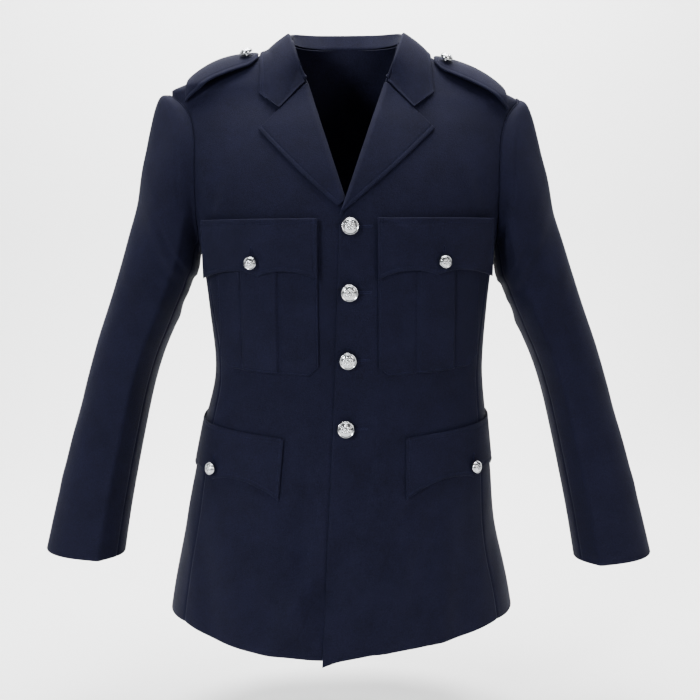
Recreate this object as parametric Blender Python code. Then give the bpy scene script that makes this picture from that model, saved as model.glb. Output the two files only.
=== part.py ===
"""Police uniform tunic: a hollow, worn garment with separate cut pieces.

Lengths are in millimetres here and become metres when a mesh is made.
+X is the wearer's left, -Y is the front, +Z is up. The origin is the middle
of the neck base, 18 mm under the points where the shoulder seams meet the neck.
"""
import bmesh
import bpy
import numpy as np

MM = 0.001

# Cloth
CLOTH = 2.0             # body cloth with its fusible, as one wall
SLEEVE_CLOTH = 1.6
FLAP_CLOTH = 2.2        # two layers pressed together
LAYER_GAP = 1.0         # air between a laid-on piece and the panel
SEAM = 0.2              # each panel stops this far short of a seam
ARMHOLE_SEAM = 0.9      # the same at the armhole, where facets differ

# Shoulders and neck
NECK_HALF = 72.0        # half width of the neck at the shoulder seams
NECK_HEIGHT = 18.0      # neck ends of the shoulder seams, above the origin
NECK_TOP = 24.0         # over this the neck is upright
NECK_RISE = 1.0         # the back neck point above them
SHOULDER_RUN = {1: 2.10, -1: 2.75}    # mm out for each mm down, per side
SHOULDER_DROP = {1: 56.0, -1: 47.0}   # sleeve head below the neck, per side
CORNER_SOFTNESS = 5.0

# Body rings: half width, depth in front of and behind the side line,
# roundness of the superellipse, and sideways swing of the ring's middle.
RINGS = np.array([
    # height, half, front, back, power, swing
    (40.0, 240.0, 56.0, 58.0, 2.0, 0.0),
    (0.0, 239.0, 60.0, 62.0, 2.0, 0.0),
    (-50.0, 236.0, 70.0, 76.0, 2.05, 0.0),
    (-100.0, 232.0, 94.0, 100.0, 2.2, 0.0),
    (-150.0, 223.0, 112.0, 114.0, 2.35, 0.0),
    (-200.0, 211.0, 122.0, 120.0, 2.45, 0.0),
    (-258.0, 198.0, 126.0, 121.0, 2.5, 0.0),
    (-330.0, 189.0, 124.0, 115.0, 2.5, 0.0),
    (-424.0, 184.0, 119.0, 108.0, 2.45, 0.0),
    (-490.0, 195.0, 124.0, 115.0, 2.4, -5.0),
    (-560.0, 206.0, 131.0, 127.0, 2.35, -9.0),
    (-640.0, 218.0, 137.0, 138.0, 2.3, -13.0),
    (-720.0, 235.0, 143.0, 147.0, 2.3, -13.0),
    (-800.0, 248.0, 148.0, 154.0, 2.3, -13.0),
])
HEIGHT, HALF, FRONT, BACK, POWER, SWING = range(6)

# Soft folds in the body: place, direction of the fold from the vertical,
# half length, half width and height; negative is a trough.
FOLDS = np.array([
    # x, y side, z, lean, length, width, height
    (-70.0, -1, -715.0, -38.0, 95.0, 26.0, 4.5),
    (-58.0, -1, -650.0, -20.0, 85.0, 20.0, -4.0),
    (-150.0, -1, -700.0, -8.0, 90.0, 24.0, 3.0),
    (-190.0, -1, -720.0, -4.0, 80.0, 16.0, -3.0),
    (30.0, -1, -560.0, 28.0, 90.0, 24.0, -3.0),
    (60.0, -1, -690.0, 6.0, 100.0, 30.0, 3.5),
    (150.0, -1, -700.0, 8.0, 90.0, 24.0, -3.0),
    (120.0, -1, -450.0, 60.0, 45.0, 14.0, -2.0),
    (-120.0, -1, -455.0, -60.0, 45.0, 14.0, -2.0),
    (-110.0, 1, -690.0, -5.0, 110.0, 26.0, 5.0),
    (-45.0, 1, -720.0, 3.0, 90.0, 22.0, -4.0),
    (55.0, 1, -700.0, 4.0, 100.0, 24.0, 4.5),
    (130.0, 1, -690.0, 7.0, 100.0, 26.0, -4.0),
    (-70.0, 1, -420.0, 75.0, 60.0, 12.0, -2.5),
    (75.0, 1, -436.0, -78.0, 60.0, 12.0, -2.5),
    (-150.0, 1, -300.0, 25.0, 80.0, 16.0, 3.5),
    (152.0, 1, -310.0, -22.0, 80.0, 16.0, 3.5),
])

FOLD_TURN = 12.0        # a fold dies out over this depth past the side line

# Front edges, hem and side seams
FRONT_HEM = -787.0
SIDE_HEM = -752.0
BACK_HEM = -764.0
LAP_HEIGHT = CLOTH + 1.6      # the top front rides over the under front
LAP_FLAT, LAP_END = 30.0, 62.0
TOP_EDGE = np.array([(-787.0, -37.0), (-480.0, -20.5), (-314.0, -13.7), (-222.0, -9.8)])
UNDER_EDGE = 22.0
HEM_LIFT = {1: 15.0, -1: 5.0}     # the front hems rise from their corners
EDGE_LIFT = {1: 0.0, -1: 17.0}     # the under front is shorter at its edge
HEM_CORNER = 0.14               # over this share of the width
SEAM_FRONT = np.array([(-800.0, 0.88), (-600.0, 0.895), (-424.0, 0.93), (-232.0, 0.962)])
SEAM_BACK = np.array([(-800.0, 0.90), (-600.0, 0.91), (-424.0, 0.935), (-225.0, 0.955)])

# Panel grids
LOWER_ROWS, UPPER_ROWS = 12, 12
CROWDING = 1.35         # rows crowd towards the shoulder seam

# Armhole: an ellipse seen from the side, lying on the body
ARMHOLE_BOTTOM = -258.0
ARMHOLE_FRONT = 62.0
ARMHOLE_BACK = 67.0

# Roll lines, seen from the front as (distance from the middle, height)
GORGE = np.array((49.6, -41.0))
NOTCH = np.array((85.5, -74.3))
LAPEL_PEAK = np.array((111.3, -101.4))
BREAK = {1: np.array((-5.5, -200.0)), -1: np.array((2.0, -191.0))}
LAPEL_FOOT = {1: np.array((-9.6, -209.0)), -1: np.array((12.0, -198.0))}
ROLL_HEIGHT = 4.4
ROLL_RADIUS = 7.0
ROLL_INSET = 3.6

# Collar stations from the gorge to the centre back: fold and outer edge
COLLAR = np.array([
    # share of the run, fold x, y, z, edge x, y, z
    (0.00, 49.6, -59.0, -41.0, 112.5, -66.0, -53.6),
    (0.15, 62.0, -59.5, -8.0, 110.5, -53.0, -30.0),
    (0.32, 72.0, -33.0, 23.0, 110.0, -30.0, -8.0),
    (0.50, 73.0, 4.0, 29.0, 108.0, 5.0, 2.0),
    (0.68, 67.0, 38.0, 37.0, 99.0, 46.0, 0.0),
    (0.84, 40.0, 63.0, 40.0, 59.0, 76.0, -4.0),
    (1.00, 0.0, 71.0, 41.0, 0.0, 88.0, -6.0),
])
COLLAR_BEND = 2.9
COLLAR_CLOTH = 2.0
COLLAR_CLEAR = 3.2      # the fall rides this far over the panels
FACING_CLEAR = 3.0      # the lapel's outer face over the panel, at its edge

# Sleeve stations, seen from the front for the mean of both sides
SLEEVE = np.array([
    # outer x, outer z, inner x, inner z, depth, middle y, armhole share
    (234.0, -50.0, 198.0, -258.0, 64.5, 2.5, 1.00),
    (246.0, -55.0, 199.5, -262.0, 66.0, 2.5, 0.92),
    (254.0, -72.0, 200.5, -267.0, 67.5, 2.8, 0.76),
    (262.0, -103.0, 201.5, -273.0, 68.5, 3.0, 0.58),
    (271.0, -146.0, 203.0, -282.0, 68.5, 3.5, 0.40),
    (283.0, -198.0, 205.0, -293.0, 67.0, 4.0, 0.22),
    (298.0, -250.0, 211.0, -310.0, 64.5, 5.0, 0.08),
    (314.0, -300.0, 224.0, -338.0, 61.5, 6.0, 0.0),
    (331.0, -350.0, 241.0, -373.0, 58.5, 6.5, 0.0),
    (349.0, -402.0, 257.0, -410.0, 56.0, 5.5, 0.0),
    (366.0, -456.0, 271.0, -455.0, 53.5, 3.0, 0.0),
    (382.0, -512.0, 284.0, -512.0, 51.0, -1.0, 0.0),
    (397.0, -570.0, 296.0, -570.0, 48.5, -5.5, 0.0),
    (411.0, -624.0, 307.0, -627.0, 46.0, -9.5, 0.0),
    (424.5, -680.0, 317.0, -688.0, 44.0, -14.0, 0.0),
])
SLEEVE_SIDE = {1: (-3.0, 1.0), -1: (1.0, 13.0)}      # out, up, for each side
CREASE_ANGLE = 127.0
CREASE_HEIGHT = 4.5
BACK_CREASE_ANGLE = 305.0
FOREARM_SEAM = 150.0
HINDARM_SEAM = 248.0
SLEEVE_FOLDS = np.array([
    # along 0 to 1, angle, length, width in degrees, slant, height
    (0.40, 60.0, 0.030, 55.0, 0.05, -3.5),
    (0.46, 85.0, 0.025, 60.0, 0.06, -3.0),
    (0.43, 175.0, 0.035, 40.0, 0.00, -4.0),
    (0.50, 190.0, 0.030, 35.0, 0.00, -3.0),
    (0.30, 20.0, 0.050, 50.0, -0.04, 2.5),
    (0.55, 300.0, 0.045, 60.0, 0.05, 3.0),
    (0.72, 40.0, 0.050, 60.0, -0.05, -2.0),
    (0.24, 262.0, 0.050, 45.0, 0.04, -4.0),
])

# Breast pockets, as (distance from the middle, height)
POCKET_INNER, POCKET_OUTER = 37.5, 168.0
POCKET_TOP, POCKET_BOTTOM = -222.0, -413.0
POCKET_CORNER = 13.0
POCKET_CLOTH = 1.6
PLEAT_MIDDLE, PLEAT_HALF, PLEAT_HEIGHT = 111.5, 23.0, 2.6
BREAST_FLAP = {"inner": 37.0, "outer": 183.0, "top": -213.0}
BREAST_FLAP_DROP = {"corner": 76.0, "arc": 65.0, "point": 71.0}

# Skirt flaps: along the ring from the inner end, and height
SKIRT_FLAP_INNER, SKIRT_FLAP_WIDTH = 78.0, 206.0
SKIRT_FLAP_TOP, SKIRT_FLAP_RISE = -493.0, 16.0
SKIRT_FLAP_DROP = {"corner": 80.0, "arc": 62.0, "point": 70.0}

# Shoulder straps
STRAP_OUTER, STRAP_INNER = 214.0, 114.0
STRAP_HALF, STRAP_TAPER = 25.0, 5.0
STRAP_MIDDLE = -29.0     # measured over the shoulder from the seam, to the front
STRAP_LIFT = 7.0

# Buttons: place on the front, diameter
LARGE_BUTTON, SMALL_BUTTON = 23.5, 17.5
FRONT_BUTTONS = np.array([(3.5, -223.0), (2.0, -304.5), (-0.5, -390.5), (-4.0, -479.0)])
BREAST_BUTTON = (117.5, -267.0)
SKIRT_BUTTON_DOWN = 56.0
STRAP_BUTTON = 127.0
SHANK = 2.6
BUTTON_GAP = 0.7


def clear_scene():
    for thing in list(bpy.data.objects):
        bpy.data.objects.remove(thing, do_unlink=True)


def make_material(name, colour, roughness, metallic=0.0):
    material = bpy.data.materials.new(name)
    material.use_nodes = True
    shader = material.node_tree.nodes["Principled BSDF"]
    shader.inputs["Base Color"].default_value = (*colour, 1.0)
    shader.inputs["Roughness"].default_value = roughness
    shader.inputs["Metallic"].default_value = metallic
    return material


def smooth_rows(table, at, column):
    """Cubic through a table's rows, read at heights or stations in column 0."""
    order = np.argsort(table[:, 0])
    knots, values = table[order, 0], table[order, column]
    slopes = np.gradient(values, knots)
    place = np.clip(np.searchsorted(knots, at) - 1, 0, len(knots) - 2)
    width = knots[place + 1] - knots[place]
    part = np.clip((at - knots[place]) / width, 0.0, 1.0)
    low, high = values[place], values[place + 1]
    rise_low, rise_high = slopes[place] * width, slopes[place + 1] * width
    square, cube = part ** 2, part ** 3
    return (low * (2 * cube - 3 * square + 1) + rise_low * (cube - 2 * square + part)
            + high * (3 * square - 2 * cube) + rise_high * (cube - square))


def half_width(z, side):
    """Half width at a height: the shoulder slope, upright over the neck, blended
    with the side wall."""
    run = np.where(side > 0, SHOULDER_RUN[1], SHOULDER_RUN[-1])
    slope = NECK_HALF + run * (NECK_HEIGHT - np.minimum(z, NECK_TOP))
    wall = smooth_rows(RINGS, z, HALF)
    low = np.minimum(slope, wall)
    apart = np.abs(slope - wall) / CORNER_SOFTNESS
    return np.maximum(low - CORNER_SOFTNESS * np.log1p(np.exp(-apart)), 1.0)


def ring(x, z):
    """Half width, depths, power and swing of the ring at each point."""
    swing = smooth_rows(RINGS, z, SWING)
    half = half_width(z, np.sign(x - swing))
    return (half, smooth_rows(RINGS, z, FRONT), smooth_rows(RINGS, z, BACK),
            smooth_rows(RINGS, z, POWER), swing)


def on_front(x, z, facing=-1):
    """y of the body at a place seen from the front (-1) or the back (+1)."""
    half, front, back, power, swing = ring(x, z)
    depth = front if facing < 0 else back
    share = np.clip(np.abs(x - swing) / half, 0.0, 1.0)
    return facing * depth * (1 - share ** power) ** (1 / power)


def on_side(y, z, side):
    """x of the body at a place seen from the side."""
    half, front, back, power, swing = ring(np.full_like(z, side * 1000.0), z)
    depth = np.where(y < 0, front, back)
    share = np.clip(np.abs(y) / depth, 0.0, 1.0)
    return swing + side * half * (1 - share ** power) ** (1 / power)


def body_level(points):
    """The superellipse rule: under 0 inside the body, 0 on it, over 0 outside."""
    x, y, z = points[..., 0], points[..., 1], points[..., 2]
    half, front, back, power, swing = ring(x, z)
    depth = np.where(y < 0, front, back)
    return (np.abs(x - swing) / half) ** power + (np.abs(y) / depth) ** power - 1


def body_distance(points):
    """Distance from the body, to first order, and the outward direction."""
    step = 0.05
    gradient = np.stack([
        (body_level(points + step * axis) - body_level(points - step * axis)) / (2 * step)
        for axis in np.eye(3)], axis=-1)
    size = np.linalg.norm(gradient, axis=-1)
    return body_level(points) / size, gradient / size[..., None]


def folds(points):
    """Height of the soft folds at each point."""
    total = np.zeros(points.shape[:-1])
    for x, face, z, lean, length, width, height in FOLDS:
        turn = np.radians(lean)
        across = (points[..., 0] - x) * np.cos(turn) - (points[..., 2] - z) * np.sin(turn)
        along = (points[..., 0] - x) * np.sin(turn) + (points[..., 2] - z) * np.cos(turn)
        same_face = 1 / (1 + np.exp(-face * points[..., 1] / FOLD_TURN))
        total += height * same_face * np.exp(-(across / width) ** 2 - (along / length) ** 2)
    return total


def place(points, offset, folded=True):
    """Points moved along the body's normal until they lie at an offset from it."""
    moved = points.copy()
    target = offset + (folds(points) if folded else 0.0)
    for _ in range(5):
        distance, normal = body_distance(moved)
        moved += normal * (target - distance)[..., None]
    return moved


def lift(points, clearance):
    """Points pushed out of the body to at least a clearance."""
    moved = points.copy()
    for _ in range(4):
        distance, normal = body_distance(moved)
        moved += normal * np.maximum(clearance - distance, 0.0)[..., None]
    return moved


def lift_outside(points, clearance):
    """The same, only for points that are already nearly outside."""
    distance, _ = body_distance(points)
    near = distance > -1.5
    return np.where(near[..., None], lift(points, clearance), points)


def grid_normals(grid):
    """Normals of a grid of points from its two running differences."""
    down = np.gradient(grid, axis=0)
    across = np.gradient(grid, axis=1)
    normal = np.cross(across, down)
    return normal / np.linalg.norm(normal, axis=-1)[..., None]


def add_object(name, points, faces, material):
    mesh = bpy.data.meshes.new(name)
    mesh.from_pydata((np.asarray(points) * MM).tolist(), [], faces)
    shape = bmesh.new()
    shape.from_mesh(mesh)
    bmesh.ops.recalc_face_normals(shape, faces=shape.faces)
    shape.to_mesh(mesh)
    shape.free()
    mesh.shade_smooth()
    mesh.set_sharp_from_angle(angle=np.radians(45.0))
    mesh.materials.append(material)
    thing = bpy.data.objects.new(name, mesh)
    bpy.context.scene.collection.objects.link(thing)
    return thing


def add_wall(name, outer, inner, material):
    """A closed wall between two grids of the same size, with its four rims."""
    rows, columns = outer.shape[:2]
    number = np.arange(rows * columns).reshape(rows, columns)
    a, b = number[:-1, :-1].ravel(), number[:-1, 1:].ravel()
    c, d = number[1:, 1:].ravel(), number[1:, :-1].ravel()
    faces = np.concatenate([np.stack([a, b, c], 1), np.stack([a, c, d], 1)])
    shift = rows * columns
    edge = np.concatenate([number[0, :], number[1:, -1], number[-1, -2::-1],
                           number[-2:0:-1, 0]])
    after = np.roll(edge, -1)
    rims = np.concatenate([np.stack([edge, edge + shift, after + shift], 1),
                           np.stack([edge, after + shift, after], 1)])
    every = np.concatenate([faces, faces[:, ::-1] + shift, rims])
    points = np.concatenate([outer.reshape(-1, 3), inner.reshape(-1, 3)])
    return add_object(name, points, every.tolist(), material)


def body_wall(name, points, height, cloth, material):
    """A wall that follows the body, its outer face at a height over it."""
    outer = place(points, height)
    inner = place(points, height - cloth)
    return add_wall(name, outer, inner, material)


def read_line(line, at):
    """Points at shares 0 to 1 of a polyline's length."""
    steps = np.linalg.norm(np.diff(line, axis=0), axis=1)
    length = np.concatenate([[0.0], np.cumsum(steps)]) / steps.sum()
    return np.stack([np.interp(at, length, line[:, k]) for k in range(line.shape[1])], -1)


def lap(x):
    """Extra height of the top front where it lies over the under front."""
    share = np.clip((LAP_END - x) / (LAP_END - LAP_FLAT), 0.0, 1.0)
    return LAP_HEIGHT * share ** 2 * (3 - 2 * share)


def armhole(angle, side, grow=0.0):
    """Armhole points at angles in degrees: 0 is the shoulder, 90 the front."""
    turn = np.radians(angle)
    top = -SHOULDER_DROP[side]
    middle, reach = (top + ARMHOLE_BOTTOM) / 2, (top - ARMHOLE_BOTTOM) / 2 + grow
    deep = np.where(np.sin(turn) > 0, ARMHOLE_FRONT, ARMHOLE_BACK) + grow
    y, z = -deep * np.sin(turn), middle + reach * np.cos(turn)
    return np.stack([on_side(y, z, side), y, z], -1)


def seam_corner(side, facing):
    """Angle on the armhole where a side seam ends."""
    angles = np.linspace(100.0, 172.0, 400) if facing < 0 else np.linspace(260.0, 188.0, 400)
    ring_points = armhole(angles, side)
    half, _, _, _, swing = ring(ring_points[:, 0], ring_points[:, 2])
    share = np.abs(ring_points[:, 0] - swing) / half
    table = SEAM_FRONT if facing < 0 else SEAM_BACK
    wanted = np.interp(ring_points[:, 2], table[:, 0], table[:, 1])
    return angles[np.argmin(np.abs(share - wanted))]


def side_seam(side, facing):
    """The side seam from hem to armhole, as points on the body."""
    corner = armhole(np.array([seam_corner(side, facing)]), side)[0]
    hem = SIDE_HEM + (BACK_HEM - SIDE_HEM) * (0.5 if facing > 0 else 0.0)
    z = np.linspace(hem, corner[2], LOWER_ROWS + 1)
    table = SEAM_FRONT if facing < 0 else SEAM_BACK
    share = np.interp(z, table[:, 0], table[:, 1])
    half, front, back, power, _ = ring(np.full_like(z, side * 1000.0), z)
    depth = front if facing < 0 else back
    y = facing * depth * (1 - share ** power) ** (1 / power)
    y[-1] = corner[1]
    return np.stack([on_side(y, z, side), y, z], -1)


def armhole_rows(side, facing):
    """Panel edge along the armhole, from the side seam up to the shoulder."""
    corner = seam_corner(side, facing)
    start = corner if facing < 0 else 360.0 - corner
    away = start * (1 - np.arange(UPPER_ROWS + 1) / UPPER_ROWS) ** CROWDING
    angle = away if facing < 0 else 360.0 - away
    return armhole(angle, side, ARMHOLE_SEAM)


def coons(bottom, top, inner, outer, up):
    """Patch between four borders; `up` is the height share of each row."""
    rise = up[:, None, None]
    share = border_share(bottom)[None, :, None]
    blend = (1 - rise) * bottom[None] + rise * top[None]
    sides = (1 - share) * inner[:, None] + share * outer[:, None]
    corners = ((1 - rise) * ((1 - share) * bottom[0] + share * bottom[-1])
               + rise * ((1 - share) * top[0] + share * top[-1]))
    return blend + sides - corners


def border_share(border):
    run = np.abs(border[:, 0] - border[0, 0])
    return run / run[-1]


def panel_points(side, facing, edge_low, edge_high, columns, crowd):
    """Front or back panel seen from the front, from hem to shoulder seam."""
    seam = side_seam(side, facing)
    seam_y = seam[:, 1] + facing * SEAM
    seam_x = on_side(seam_y, seam[:, 2], side)
    share = 1 - (1 - np.linspace(0.0, 1.0, columns)) ** crowd
    rows = []
    for k in range(LOWER_ROWS + 1):
        x = edge_low[k, 0] + (seam_x[k] - edge_low[k, 0]) * share
        hem_share = 1 - k / LOWER_ROWS
        bend = share ** (1 + 1.4 * hem_share)
        z = edge_low[k, 1] + (seam[k, 2] - edge_low[k, 1]) * bend
        if facing < 0:
            near = np.exp(-share / HEM_CORNER)
            lift = HEM_LIFT[side] * (1 - near) * (1 - share ** 3) + EDGE_LIFT[side] * near
            z += lift * hem_share ** 3
        rows.append(np.stack([x, z], -1))
    lower = np.array(rows)
    arm = armhole_rows(side, facing)
    arm[0, 0], arm[0, 2] = seam_x[-1], seam[-1, 2]
    up = (arm[:, 2] - arm[0, 2]) / (arm[-1, 2] - arm[0, 2])
    inner = read_line(edge_high, up)
    top_x = inner[-1, 0] + (arm[-1, 0] - inner[-1, 0]) * share
    top = np.stack([top_x, shoulder_height(top_x, side, facing)], -1)
    top[-1] = arm[-1, 0], arm[-1, 2]
    inner[-1] = top[0]
    upper = coons(lower[-1], top, inner, arm[:, [0, 2]], up)
    flat = np.concatenate([lower[:-1], upper])
    x, z = flat[..., 0], flat[..., 1]
    y = facing * np.maximum(np.abs(on_front(x, z, facing)), SEAM)
    return np.stack([x, y, z], -1)


def shoulder_height(x, side, facing):
    """Height of the shoulder seam, and of the back neck between the seams."""
    z = np.linspace(-80.0, 40.0, 2401)
    half = half_width(z, side)
    ridge = np.interp(np.abs(x), half[::-1], z[::-1])
    neck = NECK_HEIGHT + NECK_RISE * np.clip(1 - np.abs(x) / NECK_HALF, 0.0, 1.0) ** 1.6
    return np.where(np.abs(x) < NECK_HALF, neck, ridge) if facing > 0 else ridge


def neck_point(side):
    z = NECK_HEIGHT + np.linspace(-5.0, 5.0, 201)
    half = half_width(z, side)
    return np.array((side * NECK_HALF, np.interp(NECK_HALF, half[::-1], z[::-1])))


def front_edges(side):
    """Lower and upper inner edge of a front, seen from the front."""
    z = np.linspace(FRONT_HEM, -222.0 if side > 0 else -250.0, LOWER_ROWS + 1)
    if side > 0:
        low = np.stack([np.interp(z, TOP_EDGE[:, 0], TOP_EDGE[:, 1]), z], -1)
    else:
        low = np.stack([np.full_like(z, UNDER_EDGE), z], -1)
    roll = (GORGE - BREAK[side]) / np.linalg.norm(GORGE - BREAK[side])
    inward = np.array((roll[1], -roll[0])) * ROLL_INSET
    high = np.array([low[-1] * (side, 1), BREAK[side] + inward, GORGE + inward,
                     neck_point(1)]) * (side, 1)
    high[-1] = neck_point(side)
    return low, high


def make_fronts(material):
    for side, name in ((1, "front_left"), (-1, "front_right")):
        low, high = front_edges(side)
        points = panel_points(side, -1, low, high, 14, 1.2)
        height = lap(points[..., 0]) if side > 0 else 0.0
        body_wall(name, points, height, CLOTH, material)


def make_backs(material):
    for side, name in ((1, "back_left"), (-1, "back_right")):
        seam_top = armhole(np.array([seam_corner(side, 1)]), side)[0, 2]
        z = np.linspace(BACK_HEM, seam_top, LOWER_ROWS + 1)
        low = np.stack([np.full_like(z, side * SEAM), z], -1)
        high = np.array([low[-1], (side * SEAM, NECK_HEIGHT + NECK_RISE)])
        points = panel_points(side, 1, low, high, 10, 1.3)
        body_wall(name, points, 0.0, CLOTH, material)


def make_sides(material):
    columns = 7
    for side, name in ((1, "side_left"), (-1, "side_right")):
        fore, hind = side_seam(side, -1), side_seam(side, 1)
        share = np.linspace(0.0, 1.0, columns)
        y = (fore[:, 1] + SEAM)[:, None] * (1 - share) + (hind[:, 1] - SEAM)[:, None] * share
        z = fore[:, 2][:, None] * (1 - share) + hind[:, 2][:, None] * share
        top = -SHOULDER_DROP[side]
        middle, reach = (top + ARMHOLE_BOTTOM) / 2, (top - ARMHOLE_BOTTOM) / 2 + ARMHOLE_SEAM
        deep = np.where(y[-1] < 0, ARMHOLE_FRONT, ARMHOLE_BACK) + ARMHOLE_SEAM
        hollow = middle - reach * np.sqrt(1 - (y[-1] / deep) ** 2)
        dip = hollow - z[-1]
        dip -= dip[0] * (1 - share) + dip[-1] * share
        rise = np.linspace(0.0, 1.0, LOWER_ROWS + 1)[:, None] ** 3
        z = z + rise * dip
        points = np.stack([on_side(y, z, side), y, z], -1)
        body_wall(name, points, 0.0, CLOTH, material)


def make_lapels(material):
    """Facings turned back over the fronts: a quarter-round roll, then flat."""
    along = np.linspace(0.0, 1.0, 9)
    turn = np.radians(np.linspace(0.0, 90.0, 5))
    flat = np.linspace(0.0, 1.0, 6)[1:]
    for side, name in ((1, "lapel_left"), (-1, "lapel_right")):
        roll = BREAK[side] + (GORGE - BREAK[side]) * along[:, None]
        belly = 3.0 * np.sin(np.pi * along)
        edge = LAPEL_FOOT[side] + (LAPEL_PEAK - LAPEL_FOOT[side]) * along[:, None]
        edge[:, 1] -= belly
        span = np.linalg.norm(edge - roll, axis=1)
        direction = (edge - roll) / span[:, None]
        radius = np.minimum(ROLL_RADIUS, 0.55 * span)[:, None]
        crown = np.minimum(ROLL_HEIGHT, 2.6 + 0.2 * span)[:, None]
        run = np.concatenate([radius * (1 - np.cos(turn)),
                              radius + (span[:, None] - radius) * flat], axis=1)
        height = np.concatenate([-1.0 + (crown + 1.0) * np.sin(turn),
                                 crown + (FACING_CLEAR - crown) * flat ** 0.7], axis=1)
        seen = roll[:, None] + direction[:, None] * run[..., None]
        seen[-1, :, 1] -= 0.4
        x, z = side * seen[..., 0], seen[..., 1]
        points = np.stack([x, on_front(x, z), z], -1)
        base = lap(x) if side > 0 else 0.0
        outer = place(points, base + height)
        normal = grid_normals(outer) * side
        add_wall(name, outer, outer - normal * FLAP_CLOTH, material)


def neck_seam(at):
    """Points over the neck edge of the panels, from the gorge to the back."""
    roll = (GORGE - BREAK[1]) / np.linalg.norm(GORGE - BREAK[1])
    start = GORGE + np.array((roll[1], -roll[0])) * ROLL_INSET
    fore = read_line(np.array([start, neck_point(1)]), np.linspace(0.0, 1.0, 40) ** 0.6)
    fore = np.stack([fore[:, 0], on_front(fore[:, 0], fore[:, 1]), fore[:, 1]], -1)
    x = NECK_HALF * (1 - np.linspace(0.0, 1.0, 60)[1:] ** 1.5)
    z = shoulder_height(x, 1, 1)
    hind = np.stack([x, on_front(x, z, 1), z], -1)
    seam = read_line(np.concatenate([fore, hind]), at)
    seam = place(seam, 1.3, folded=False)
    inward = seam[:, :2] / np.linalg.norm(seam[:, :2], axis=1)[:, None]
    seam[:, :2] -= inward * 1.6
    seam[-1, 0] = 0.0
    return seam


def make_collar(material):
    """Stand, bend and fall, carried round the neck from gorge to gorge."""
    at = np.linspace(0.0, 1.0, 11)
    half = np.stack([smooth_rows(COLLAR, at, k + 1) for k in range(6)], -1)
    fold, edge, seam = half[:, 0:3], half[:, 3:6], neck_seam(at)
    edge = place(edge, COLLAR_CLEAR, folded=False)
    fold[0] = place(fold[:1], 1.5, folded=False)[0]
    up = fold - edge
    up /= np.linalg.norm(up, axis=1)[:, None]
    along = np.gradient(fold, axis=0)
    out = np.cross(along, up)
    out /= np.linalg.norm(out, axis=1)[:, None]
    centre = fold - COLLAR_BEND * up
    turn = np.radians(np.linspace(0.0, 140.0, 6))
    bend = (centre[:, None] + COLLAR_BEND * (np.cos(turn)[None, :, None] * out[:, None]
            + np.sin(turn)[None, :, None] * up[:, None]))
    seam[0] = bend[0, -1] - 0.64 * out[0] - 0.77 * up[0]
    fall_share = np.array((0.0, 0.21, 0.42, 0.62, 0.82))
    fall = edge[:, None] + (bend[:, :1] - edge[:, None]) * fall_share[None, :, None]
    notch = np.array((NOTCH[0], 0.0, NOTCH[1]))
    notch[1] = on_front(notch[:1], notch[2:])[0]
    notch = place(notch[None], COLLAR_CLEAR + 0.2, folded=False)[0]
    near = np.exp(-(at / 0.13) ** 1.5)[:, None, None]
    corner_share = 0.42
    straight = edge[0] + (bend[0, 0] - edge[0]) * corner_share
    kink = np.interp(fall_share, (0.0, corner_share, 1.0), (0.0, 1.0, 0.0))
    fall = fall + near * kink[None, :, None] * (notch - straight)[None, None]
    fall = fall + np.sin(np.pi * fall_share)[None, :, None] * 1.6 * out[:, None]
    stand_share = np.array((0.5, 1.0))
    stand = bend[:, -1:] + (seam[:, None] - bend[:, -1:]) * stand_share[None, :, None]
    right = np.concatenate([fall, bend, stand], axis=1)
    left = right[::-1] * (-1, 1, 1)
    outer = np.concatenate([right, left[1:]])
    columns = len(fall_share)
    outer[:, :columns] = lift(outer[:, :columns], COLLAR_CLEAR)
    outer[2:-2, columns:-2] = lift(outer[2:-2, columns:-2], COLLAR_CLEAR)
    outer[1:-1, -1:] = lift(outer[1:-1, -1:], 1.2)
    normal = -grid_normals(outer)
    inner = outer - normal * COLLAR_CLOTH
    inner[1:-1] = lift_outside(inner[1:-1], 0.5)
    add_wall("collar", outer, inner, material)


def sleeve_points(side, at, angle):
    """Sleeve rings: `at` 0 is the armhole and 1 the cuff; angle 0 is outside."""
    knots = np.linspace(0.0, 1.0, len(SLEEVE))
    table = np.column_stack([knots, SLEEVE])
    outer_x, outer_z, inner_x, inner_z, depth, middle, share = (
        smooth_rows(table, at, k + 1)[:, None] for k in range(7))
    turn = np.radians(angle)[None, :]
    out, up = SLEEVE_SIDE[side]
    ease = np.clip(at[:, None] * 4.0, 0.0, 1.0)
    outer_x, outer_z = outer_x + out * ease, outer_z + up * ease
    inner_x, inner_z = inner_x + out * ease * 0.4, inner_z + up * ease
    start = armhole(angle, side)
    first_x = (SLEEVE[0, 0] + SLEEVE[0, 2]) / 2 + np.cos(turn) * (SLEEVE[0, 0] - SLEEVE[0, 2]) / 2
    first_z = (SLEEVE[0, 1] + SLEEVE[0, 3]) / 2 + np.cos(turn) * (SLEEVE[0, 1] - SLEEVE[0, 3]) / 2
    first_y = SLEEVE[0, 5] - np.sin(turn) * SLEEVE[0, 4]
    bulge = sleeve_relief(at, angle) * np.clip(at[:, None] * 8.0, 0.0, 1.0)
    wide = np.hypot(outer_x - inner_x, outer_z - inner_z) / 2
    grow_across, grow_deep = 1 + bulge / wide, 1 + bulge / depth
    x = ((outer_x + inner_x) / 2 + np.cos(turn) * (outer_x - inner_x) / 2 * grow_across
         + share * (start[None, :, 0] * side - first_x))
    z = ((outer_z + inner_z) / 2 + np.cos(turn) * (outer_z - inner_z) / 2 * grow_across
         + share * (start[None, :, 2] - first_z))
    y = middle - np.sin(turn) * depth * grow_deep + share * (start[None, :, 1] - first_y)
    points = np.stack([side * x, y, z], -1)
    return lift(points, np.where(at > 0, 1.6, 0.7)[:, None])


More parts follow.
